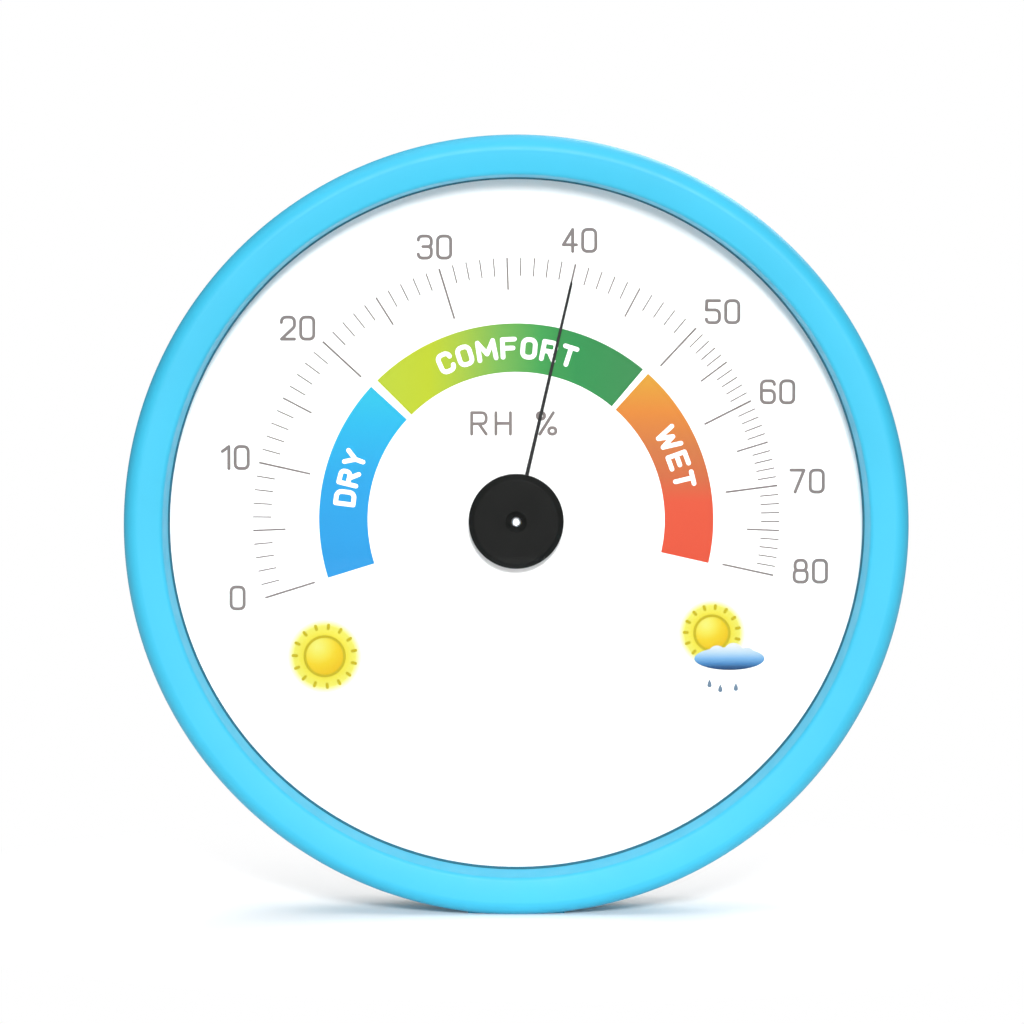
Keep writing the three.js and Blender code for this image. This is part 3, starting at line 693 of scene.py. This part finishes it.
def shell_openings(corners):
    """Vents, adjuster hole, keyhole, screw wells and their holes, leg recess and its sockets."""
    through = (BACK_Y - WALL - 1, BACK_Y + 1)
    vent = long_slot(VENT["half"], VENT["inner"], VENT["outer"], *through)
    first = -VENT["pitch"] * (VENT["count"] - 1) / 2
    keyhole_z, well_y = KEYHOLE["z"], WELL["floor_y"]
    socket_half = LEG["top"] + LEG_STUB["reach"] + LEG_STUB["end_play"]
    return [
        combined([turned_about_axis(vent, first + i * VENT["pitch"]) for i in range(VENT["count"])]),
        rod(ADJUSTER_HOLE, *through),
        rod(KEYHOLE["radius"], *through, (0, keyhole_z)),
        long_slot(KEYHOLE["slot"], keyhole_z - 2, KEYHOLE["top"], *through),
        combined([rod(WELL["radius"], well_y, BACK_Y + 1, corner) for corner in corners]),
        combined([rod(WELL["hole"], WELL["post_y"] - 1, well_y + OVERLAP, corner) for corner in corners]),
        leg_area(LEG_RECESS["side"], LEG_RECESS["above"], LEG_RECESS["y"], BACK_Y + 1),
        cross_rod(LEG_STUB["radius"] + LEG_STUB["play"], socket_half, LEG["pivot_y"], LEG["pivot_z"]),
    ]


def back_shell():
    inside = BACK_Y - WALL + OVERLAP
    shell = solid("shell", lathe(shell_profile()))
    corners = [(x, z) for x in (-SCREW_SQUARE, SCREW_SQUARE) for z in (-SCREW_SQUARE, SCREW_SQUARE)]
    posts = [rod(WELL["post"], WELL["post_y"], inside, corner) for corner in corners]
    half = FOOT["half"]
    pad = block((-half, half), FOOT["pad_y"], (TABLE_Z, -SHELL["bore"] - FOOT["pad_sunk"]))
    carve(shell, [combined(posts), pad], "UNION")
    merge(shell, [leg_tray(inside)], "UNION")
    carve(shell, shell_openings(corners))
    soften(shell, SHELL_EDGE["break"], angle=50)
    show(shell, WHITE_PLASTIC, "case", ["back_shell"])


def leg_ridge(z, y):
    """Ridge across the leg, on the face at y."""
    half, top = LEG_RIDGE["half"], z + LEG_RIDGE["width"]
    outline = rounded([(-half, z, 0.3), (half, z, 0.3), (half, top, 0.3), (-half, top, 0.3)])
    return plate(outline, y - LEG_RIDGE["sunk"], y + LEG_RIDGE["height"])


def stand_leg():
    """Tapered frame with stub pins, a window to grip it by and three ridges near its tip."""
    y, z, half = LEG["pivot_y"], LEG["pivot_z"], LEG["thick"] / 2
    tip = z - LEG["length"]
    corners = [
        (-LEG["top"], z + LEG["heel"], LEG_EDGE["top"]),
        (-LEG["tip"], tip, LEG_EDGE["tip"]),
        (LEG["tip"], tip, LEG_EDGE["tip"]),
        (LEG["top"], z + LEG["heel"], LEG_EDGE["top"]),
    ]
    frame_outline = rounded(corners, steps=8)
    leg = solid("leg", plate(frame_outline, y - half, y + half))
    low, high = tip + LEG_WINDOW["above_tip"], z - LEG_WINDOW["below_pivot"]
    carve(leg, [long_slot(LEG_WINDOW["half"], low, high, y - half - 1, y + half + 1, 24)])
    soften(leg, LEG_EDGE["break"], segments=3, angle=40)
    stubs = cross_rod(LEG_STUB["radius"], LEG["top"] + LEG_STUB["reach"], y, z)
    ridges = [leg_ridge(tip + above, y + half) for above in LEG_RIDGE["above_tip"]]
    carve(leg, [stubs, combined(ridges)], "UNION")
    show(leg, WHITE_PLASTIC, "stand", ["stand_leg"])


# ---- Fasteners and calibration spindle ----


def moved(shape, x, z):
    return [(a + x, y, c + z) for a, y, c in shape[0]], shape[1]


def pan_screw(name, node_name, x, z):
    head, height, shank = SCREW["head"], SCREW["height"], SCREW["shank"]
    seat = WELL["floor_y"] + SCREW["lift"]
    corners = [
        (0, height, 0),
        (head * 0.72, height, 0.5),
        (head, height * 0.5, 0.35),
        (head, 0, 0.1),
        (shank, 0, 0),
        (shank, -SCREW["length"], 0.1),
        (0, -SCREW["point"], 0),
    ]
    profile = rounded(corners, closed=False)
    body = lathe([(r, seat + y) for r, y in profile], SMALL)
    screw = solid(name, moved(body, x, z))
    arm, half = head * CROSS_SLOT["arm"], head * CROSS_SLOT["half"]
    depth = (seat + height * CROSS_SLOT["floor"], seat + height + 1)
    carve(
        screw,
        [
            block((x - half, x + half), depth, (z - arm, z + arm)),
            block((x - arm, x + arm), depth, (z - half, z + half)),
        ],
    )
    show(screw, STEEL, "case", [node_name])


def adjuster():
    """Slotted spindle with a flange at its front, a neck for the clip and a bore for the arbor."""
    bore, flange, body, neck, head = (ADJUSTER[k] for k in ("bore", "flange", "body", "neck", "head"))
    ends = ADJUSTER_Y
    back = ends["back"]
    corners = [
        (0, ends["bore"], 0),
        (bore, ends["bore"], 0),
        (bore, ends["front"], 0),
        (flange, ends["front"], 0.1),
        (flange, ends["flange"], 0),
        (body, ends["flange"], 0),
        (body, ends["body"], 0),
        (neck, ends["body"], 0),
        (neck, ends["neck"], 0),
        (head, ends["neck"], 0.15),
        (head, back, 0.35),
        (0, back, 0),
    ]
    profile = rounded(corners, closed=False)
    spindle = solid("adjuster", lathe(profile, MEDIUM))
    half = DRIVER_SLOT["half"]
    carve(spindle, [block((-head - 1, head + 1), (back - DRIVER_SLOT["depth"], back + 1), (-half, half))])
    show(spindle, BRASS, "regulator", ["adjuster_spindle"])


# ---- Pointer ----


def hub_cap():
    face, rear, radius, bore = HUB["face_y"], HUB["rear_y"], HUB["radius"], HUB["bore"]
    dimple, socket = HUB_DIMPLE, HUB_SOCKET
    corners = [
        (bore, face + dimple["depth"], 0),
        (dimple["floor"], face + dimple["depth"], 0.1),
        (dimple["mouth"], face, 0.15),
        (radius - HUB_CHAMFER["across"], face, 0.6),
        (radius, face + HUB_CHAMFER["deep"], 0.35),
        (radius, rear, 0.1),
        (radius - HUB["rim"], rear, 0.1),
        (radius - HUB["rim"], face + HUB["cap"], 0),
        (socket["radius"], face + HUB["cap"], 0),
        (socket["radius"], face + socket["depth"], 0),
        (bore, face + socket["depth"], 0),
    ]
    profile = rounded(corners)
    show(solid("hub", lathe(profile, MEDIUM)), CHARCOAL, "pointer", ["hub_cap"])


def needle():
    front, rear, reach = NEEDLE["front_y"], NEEDLE["rear_y"], NEEDLE["reach"]
    root, half, tip_half = NEEDLE["root"], NEEDLE["half"], NEEDLE_TIP["half"]
    tip_z = reach - NEEDLE_TIP["length"]
    outline = [(-half, root), (half, root), (tip_half, tip_z), (0, reach), (-tip_half, tip_z)]
    hole, radius = NEEDLE_EYE["hole"], NEEDLE_EYE["radius"]
    eye = lathe([(hole, front), (radius, front), (radius, rear), (hole, rear)], SMALL)
    tail = block((-NEEDLE_TAIL["half"], NEEDLE_TAIL["half"]), (front, rear), (-NEEDLE_TAIL["end"], -root))
    made = solid("needle", turned_about_axis(eye, READING_ANGLE))
    arms = [turned_about_axis(arm, READING_ANGLE) for arm in (plate(outline, front, rear), tail)]
    carve(made, arms, "UNION")
    show(made, BLACK_PAINT, "pointer", ["pointer_needle"])


# ---- Lettering: single strokes of a squared, round-cornered hand ----

W = 0.56  # width of most letters, in cap heights
R = 0.2  # radius of their corners
SHARP_TURN = math.radians(35)
# Strokes of each letter: whether the stroke is closed, and its (u, v, corner radius) points.
LETTERS = {
    "0": [(True, [(0, 0, R), (W, 0, R), (W, 1, R), (0, 1, R)])],
    "1": [(False, [(0.08, 0.78, 0), (0.36, 1, 0), (0.36, 0, 0)])],
    "2": [(False, [(0, 0.76, 0), (0, 1, R), (W, 1, R), (W, 0.56, R), (0, 0, 0), (W, 0, 0)])],
    "3": [
        (False, [(0, 0.82, 0), (0, 1, R), (W, 1, R), (W, 0.52, 0.15), (0.2, 0.52, 0)]),
        (False, [(0.3, 0.52, 0), (W, 0.52, 0.15), (W, 0, R), (0, 0, R), (0, 0.18, 0)]),
    ],
    "4": [(False, [(0.4, 0, 0), (0.4, 1, 0), (0, 0.3, 0), (W, 0.3, 0)])],
    "5": [(False, [(W, 1, 0), (0.02, 1, 0), (0, 0.58, 0), (W, 0.58, R), (W, 0, R), (0, 0, R), (0, 0.16, 0)])],
    "6": [(False, [(W, 0.84, 0), (W, 1, R), (0, 1, R), (0, 0, R), (W, 0, R), (W, 0.56, R), (0, 0.56, 0)])],
    "7": [(False, [(0, 1, 0), (W, 1, 0), (0.18, 0, 0)])],
    "8": [
        (True, [(0, 0, R), (W, 0, R), (W, 0.53, 0.16), (0, 0.53, 0.16)]),
        (True, [(0.04, 0.53, 0.15), (W - 0.04, 0.53, 0.15), (W - 0.04, 1, R), (0.04, 1, R)]),
    ],
    "R": [
        (False, [(0, 0, 0), (0, 1, 0), (W, 1, R), (W, 0.48, R), (0, 0.48, 0)]),
        (False, [(0.28, 0.48, 0), (W, 0, 0)]),
    ],
    "H": [
        (False, [(0, 0, 0), (0, 1, 0)]),
        (False, [(W, 0, 0), (W, 1, 0)]),
        (False, [(0, 0.5, 0), (W, 0.5, 0)]),
    ],
    "%": [
        (False, [(0.1, 0, 0), (0.62, 1, 0)]),
        (True, [(0, 0.7, 0.14), (0.28, 0.7, 0.14), (0.28, 1, 0.14), (0, 1, 0.14)]),
        (True, [(0.44, 0, 0.14), (0.72, 0, 0.14), (0.72, 0.3, 0.14), (0.44, 0.3, 0.14)]),
    ],
    "D": [(True, [(0, 0, 0), (W, 0, 0.28), (W, 1, 0.28), (0, 1, 0)])],
    "Y": [(False, [(0, 1, 0), (W / 2, 0.46, 0), (W, 1, 0)]), (False, [(W / 2, 0.46, 0), (W / 2, 0, 0)])],
    "C": [(False, [(W, 0.76, 0), (W, 1, 0.26), (0, 1, 0.26), (0, 0, 0.26), (W, 0, 0.26), (W, 0.24, 0)])],
    "O": [(True, [(0, 0, 0.27), (W, 0, 0.27), (W, 1, 0.27), (0, 1, 0.27)])],
    "M": [(False, [(0, 0, 0), (0.02, 1, 0), (0.38, 0.3, 0), (0.74, 1, 0), (0.76, 0, 0)])],
    "F": [(False, [(W, 1, 0), (0, 1, 0), (0, 0, 0)]), (False, [(0, 0.5, 0), (0.48, 0.5, 0)])],
    "T": [(False, [(0, 1, 0), (W, 1, 0)]), (False, [(W / 2, 1, 0), (W / 2, 0, 0)])],
    "W": [(False, [(0, 1, 0), (0.22, 0, 0), (0.45, 0.78, 0), (0.68, 0, 0), (0.9, 1, 0)])],
    "E": [(False, [(W, 1, 0), (0, 1, 0), (0, 0, 0), (W, 0, 0)]), (False, [(0, 0.5, 0), (0.5, 0.5, 0)])],
}


def letter_width(letter):
    return max(point[0] for _, points in LETTERS[letter] for point in points)


def stroke(path, weight, closed=False):
    """Polygons that together cover a stroke along a path: mitred where it bends a little, with a
    round joint where it ends or turns sharply."""
    half = weight / 2
    points = [Vector(p) for p in path]
    links = list(zip(points, points[1:] + points[:1]))
    if not closed:
        links.pop()
    along = [(b - a).normalized() for a, b in links]
    polygons = []
    for i, link in enumerate(links):
        corners = []
        for here, other in zip(link, (i - 1, i + 1)):
            if closed:
                other %= len(links)
            smooth = 0 <= other < len(links) and along[i].angle(along[other]) < SHARP_TURN
            middle = (along[i] + along[other]).normalized() if smooth else along[i]
            across = Vector((-middle.y, middle.x)) * half / middle.dot(along[i])
            corners.append((here + across, here - across))
            if not smooth:
                polygons.append(circle(here, half, 20))
        (a_left, a_right), (b_left, b_right) = corners
        polygons.append([a_left, b_left, b_right, a_right])
    return polygons


def letter_ink(letter, hand, place):
    """Polygons of one letter with its middle at the origin of `place`, which maps (u, v) to (x, z)."""
    weight, breadth = hand["weight"], hand["breadth"]
    size = hand["height"] - weight
    shift = letter_width(letter) / 2
    polygons = []
    for closed, corners in LETTERS[letter]:
        wide = [((u - shift) * breadth, v - 0.5, radius) for u, v, radius in corners]
        path = [(u * size, v * size) for u, v in rounded(wide, closed, steps=4)]
        polygons += [[place(*p) for p in polygon] for polygon in stroke(path, weight, closed)]
    return polygons


def spaced(text, hand):
    """Letters of a text with the place of each one's middle along the line, centred on 0."""
    size = (hand["height"] - hand["weight"]) * hand["breadth"]
    gap = hand["gap"] + hand["weight"]
    widths = [letter_width(c) * size if c != " " else hand["height"] * 0.3 for c in text]
    at = -(sum(widths) + gap * (len(text) - 1)) / 2
    for letter, width in zip(text, widths):
        if letter != " ":
            yield letter, at + width / 2
        at += width + gap


def word(text, hand, x, z):
    """Upright text with its middle at (x, z), as one group of polygons for each letter."""
    return [
        letter_ink(letter, hand, lambda u, v, m=middle: (x + m + u, z + v))
        for letter, middle in spaced(text, hand)
    ]


def word_on_arc(text, hand, radius, middle_angle):
    """Text that stands outwards round the pointer axis, as one group of polygons for each letter."""
    letters = []
    for letter, middle in spaced(text, hand):
        angle = math.radians(middle_angle) + middle / radius
        c, s = math.cos(angle), math.sin(angle)

        def place(u, v, c=c, s=s):
            return (u * c + (radius + v) * s, (radius + v) * c - u * s)

        letters.append(letter_ink(letter, hand, place))
    return letters


def covers(polygon, x, z):
    """Whether a polygon covers a point: an odd number of its sides lies to the right of it."""
    inside = False
    for (ax, az), (bx, bz) in zip(polygon, polygon[1:] + polygon[:1]):
        if (az > z) != (bz > z) and x < ax + (bx - ax) * (z - az) / (bz - az):
            inside = not inside
    return inside


def ink(polygons, layer=0):
    """Closed shape of one layer of ink that covers all the (x, z) polygons. Layer 0 is on the card."""
    points, edges = [], []
    for polygon in polygons:
        start, count = len(points), len(polygon)
        points += [Vector(p) for p in polygon]
        edges += [(start + i, start + (i + 1) % count) for i in range(count)]
    flat, _, triangles, *_ = delaunay_2d_cdt(points, edges, [], 0, 1e-4, False)
    kept = []
    for triangle in triangles:
        x, z = sum((flat[i] for i in triangle), Vector((0, 0))) / 3
        if any(covers(polygon, x, z) for polygon in polygons):
            kept.append(tuple(triangle))
    border = {(t[i - 1], t[i]) for t in kept for i in range(3)}
    sides = [(a, b) for a, b in sorted(border) if (b, a) not in border]
    used = {i: at for at, i in enumerate(sorted({i for t in kept for i in t}))}
    front, back = -INK * (layer + 1), -INK * (layer + 0.1)
    vertices = [(flat[i].x, y, flat[i].y) for y in (front, back) for i in used]
    count = len(used)
    faces = [tuple(used[i] for i in t) for t in kept]
    faces += [tuple(count + i for i in reversed(t)) for t in faces]
    return vertices, faces + [(used[b], used[a], count + used[a], count + used[b]) for a, b in sides]


# ---- The print ----


def scale_angle(reading):
    """Clock angle of a reading on the scale."""
    low = min(70, reading // 10 * 10)
    return SCALE[low] + (SCALE[low + 10] - SCALE[low]) * (reading - low) / 10


def printed(name, groups, material, layer=0):
    """One piece of print. The polygons of one group may overlap; the groups lie apart."""
    show(solid(name, combined([ink(polygons, layer) for polygons in groups])), material, "case")


def scale_print():
    ticks = []
    for reading in range(81):
        step = 10 if reading % 10 == 0 else 5 if reading % 5 == 0 else 1
        angle = scale_angle(reading)
        ends = [Vector(clock(angle, radius)) for radius in (TICK_INNER[step], TICK_OUTER)]
        across = Vector(clock(angle + 90, TICK_WIDTH[step] / 2))
        ticks.append([[ends[0] - across, ends[1] - across, ends[1] + across, ends[0] + across]])
    printed("print_ticks", ticks, GREY_INK)
    numerals = []
    for reading, (angle, radius) in NUMERAL_AT.items():
        numerals += word(str(reading), NUMERAL, *clock(angle, radius))
    printed("print_numerals", numerals, GREY_INK)
    printed("print_unit", word("RH %", UNIT, *UNIT_PLACE), GREY_INK)


def zone_print():
    """The three coloured sectors, each blending from one tint to another, and their words."""
    dry = [
        (-10, lit(46, 166, 240)),
        (6, lit(46, 178, 246)),
        (16, lit(46, 200, 250)),
        (23, lit(56, 214, 246)),
    ]
    comfort = [
        (-23, lit(204, 224, 64)),
        (-14.5, lit(207, 224, 48)),
        (-9, lit(180, 214, 72)),
        (-3, lit(132, 198, 92)),
        (4, lit(76, 178, 92)),
        (10, lit(56, 160, 88)),
        (21, lit(68, 152, 90)),
    ]
    wet = [
        (-7, lit(244, 92, 64)),
        (3, lit(246, 98, 68)),
        (7, lit(226, 118, 74)),
        (12, lit(226, 132, 76)),
        (18, lit(245, 150, 64)),
        (24, lit(243, 178, 62)),
    ]
    # Word, clock angles of the sector's ends and of the word's middle, and the colours.
    zones = [
        ("DRY", (-107.3, -47.3), -76, gradient(along_z, dry)),
        ("COMFORT", (-44.8, 40), -3.2, gradient(along_x, comfort)),
        ("WET", (41.9, 102.8), 68.6, gradient(along_z, wet)),
    ]
    words = []
    for text, (start, end), middle, colours in zones:
        name = text.lower()
        steps = round(end - start)
        angles = [start + (end - start) * i / steps for i in range(steps + 1)]
        inner = [clock(angle, ZONE["inner"]) for angle in angles]
        outer = [clock(angle, ZONE["outer"]) for angle in reversed(angles)]
        printed(f"print_zone_{name}", [[inner + outer]], paper(f"{name}_ink", colours))
        words += word_on_arc(text, ZONE_WORD, ZONE["word_radius"], middle)
    printed("print_zone_words", words, WHITE_PRINT, 1)


def sun_print(name, x, z, core, glow):
    """Sun with a soft glow, a rim and short rays."""
    halo = [
        (0, lit(255, 255, 150)),
        (core, lit(255, 238, 58)),
        (glow * 0.74, lit(255, 250, 110)),
        (glow, PAPER),
    ]
    disc = [
        (0, lit(255, 252, 130)),
        (core * 0.5, lit(255, 242, 88)),
        (core * 0.9, lit(254, 222, 40)),
        (core * 1.5, lit(248, 204, 14)),
    ]
    around = gradient(away_from(x, z), halo)
    lit_side = gradient(away_from(x - core * 0.35, z + core * 0.5), disc)
    printed(f"{name}_glow", [[circle((x, z), glow, 64)]], paper(f"{name}_glow_ink", around))
    printed(f"{name}_core", [[circle((x, z), core, 48)]], paper(f"{name}_core_ink", lit_side), 1)
    strokes = [stroke(circle((x, z), core), SUN_RAY["rim_weight"], closed=True)]
    for i in range(SUN_RAY["count"]):
        dx, dz = clock((i + 0.3) * 360 / SUN_RAY["count"], core)
        ends = [(x + dx * share, z + dz * share) for share in (SUN_RAY["start"], SUN_RAY["end"])]
        strokes.append(stroke(ends, SUN_RAY["weight"]))
    printed(f"{name}_rays", strokes, paper(f"{name}_ray_ink", lit(212, 194, 30)), 2)


def cloud_print():
    """Flat cloud with three drops under it, in front of its sun."""
    x, z = CLOUD["middle"]
    half_width = CLOUD["half_width"]
    outlines = [arc((x, z), (half_width, CLOUD["half_height"]), 0, 360, SMALL)[:-1]]
    outlines += [circle((x + share * half_width, z + lift), radius) for share, lift, radius in PUFFS]
    sky = [
        (z - 1.9, lit(36, 70, 110)),
        (z - 1.4, lit(44, 92, 144)),
        (z - 0.8, lit(78, 144, 204)),
        (z + 0.1, lit(136, 196, 246)),
        (z + 1.0, lit(200, 232, 254)),
        (z + 2.2, lit(250, 254, 255)),
    ]
    printed("print_cloud", [outlines], paper("cloud_ink", gradient(along_z, sky)), 3)
    drop = rounded(DROP_OUTLINE)
    drops = [[[(x + dx + u, z + dz + v) for u, v in drop]] for dx, dz in DROPS]
    printed("print_drops", drops, paper("drop_ink", lit(120, 146, 170)))


# ---- CAD nodes that stay ----


def finish_cad_nodes():
    """Materials of the parts that are shown as the CAD made them."""
    looks = [
        (SMOOTH_WHITE, ["dial_carrier"]),
        (BRASS, ["front_bush", "coil_stud", "coil_collet", "pointer_boss"]),
        (STEEL, ["movement_bridge", "bridge_screw_1", "bridge_screw_2"]),
        (STEEL, ["friction_washer", "regulator_plate", "retaining_clip"]),
        (TURNED_STEEL, ["arbor"]),
        (COATED_STRIP, ["humidity_coil"]),
    ]
    for material, names in looks:
        for name in names:
            kept = frame["nodes"][name]
            kept.data.materials.clear()
            kept.data.materials.append(material)


# ---- Studio ----


def floor():
    """Pale round floor whose border melts into the white surroundings."""
    material, tree = new_material("studio_floor")
    tone = between(tree, noise(tree, 60), 0, 1)
    pale = mixed(tree, tone, (0.9, 0.9, 0.905, 1), (0.92, 0.92, 0.925, 1))
    card = node(tree, "ShaderNodeBsdfPrincipled", {"Base Color": pale, "Roughness": 0.7}).outputs[0]
    glow = node(tree, "ShaderNodeEmission", {"Strength": 1.0}).outputs[0]
    where = node(tree, "ShaderNodeTexCoord").outputs["Object"]
    reach = node(tree, "ShaderNodeVectorMath", {0: where}, operation="LENGTH").outputs["Value"]
    edge = {
        "Value": reach,
        "From Min": FLOOR["plain"],
        "From Max": FLOOR["white"],
        "To Min": FLOOR["least_glow"],
    }
    share = node(tree, "ShaderNodeMapRange", edge, interpolation_type="SMOOTHSTEP").outputs[0]
    surface = node(tree, "ShaderNodeMixShader", {0: share, 1: card, 2: glow}).outputs[0]
    node(tree, "ShaderNodeOutputMaterial", {"Surface": surface})
    rim = circle((0, 0), FLOOR["radius"], MEDIUM)
    mesh = bpy.data.meshes.new("floor")
    mesh.from_pydata([(x, y, 0) for x, y in rim], [], [tuple(range(MEDIUM))])
    mesh.materials.append(material)
    made = bpy.data.objects.new("floor", mesh)
    bpy.context.scene.collection.objects.link(made)
    made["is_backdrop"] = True


def softbox(name, position, size, power):
    """Round light that faces the dial."""
    light = bpy.data.lights.new(name, "AREA")
    light.shape, light.size, light.energy = "DISK", size, power
    made = bpy.data.objects.new(name, light)
    made.location = position
    made.rotation_euler = (Vector(LIGHT_TARGET) - Vector(position)).to_track_quat("-Z", "Y").to_euler()
    bpy.context.scene.collection.objects.link(made)


def world(seen, light, front_light):
    """White surroundings: one brightness for the camera, another for the light they give, which
    falls off towards the camera's side so that the window and the black parts mirror little."""
    made = bpy.data.worlds.new("white")
    made.use_nodes = True
    tree = made.node_tree
    tree.nodes.clear()
    towards = node(tree, "ShaderNodeTexCoord").outputs["Generated"]
    forward = node(tree, "ShaderNodeVectorMath", {0: towards, 1: (0, -1, 0)}, operation="DOT_PRODUCT")
    fall = {"Value": forward.outputs["Value"], **FRONT_FALL, "To Min": light, "To Max": front_light}
    given = node(tree, "ShaderNodeMapRange", fall, interpolation_type="SMOOTHSTEP").outputs[0]
    camera_ray = node(tree, "ShaderNodeLightPath").outputs["Is Camera Ray"]
    strength = node(tree, "ShaderNodeMix", {0: camera_ray, 2: given, 3: seen}).outputs[0]
    sky = node(tree, "ShaderNodeBackground", {"Color": (1, 1, 1, 1), "Strength": strength})
    node(tree, "ShaderNodeOutputWorld", {"Surface": sky.outputs[0]})
    bpy.context.scene.world = made


def camera(elevation, distance, aim, lens):
    """Camera in front of the dial, raised by the elevation and looking at the aim."""
    data = bpy.data.cameras.new("camera")
    data.lens, data.sensor_width = lens, SENSOR
    made = bpy.data.objects.new("camera", data)
    turn = math.radians(elevation)
    away = Vector((0, -math.cos(turn), math.sin(turn)))
    made.location = Vector(aim) + away * distance
    made.rotation_euler = (-away).to_track_quat("-Z", "Y").to_euler()
    bpy.context.scene.collection.objects.link(made)
    bpy.context.scene.camera = made


# ---- Everything ----

bezel_ring()
window()
spacer()
dial_card()
back_shell()
stand_leg()
for i, (sx, sz) in enumerate(((1, 1), (1, -1), (-1, -1), (-1, 1))):
    pan_screw(f"screw_{i + 1}", f"carrier_screw_{i + 1}", sx * SCREW_SQUARE, sz * SCREW_SQUARE)
adjuster()
hub_cap()
needle()
scale_print()
zone_print()
for name, sizes in SUNS.items():
    sun_print(name, *sizes)
cloud_print()
finish_cad_nodes()

floor()
world(seen=1.0, light=0.22, front_light=0.06)
for name, (position, width, power) in LIGHTS.items():
    softbox(name, position, width, power)
camera(**CAMERA)
bpy.context.scene.view_settings.view_transform = "Standard"

boxes = {"cad": CAD_BOX, "visual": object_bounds()}
{name: [list(corner) for corner in box] for name, box in boxes.items()}
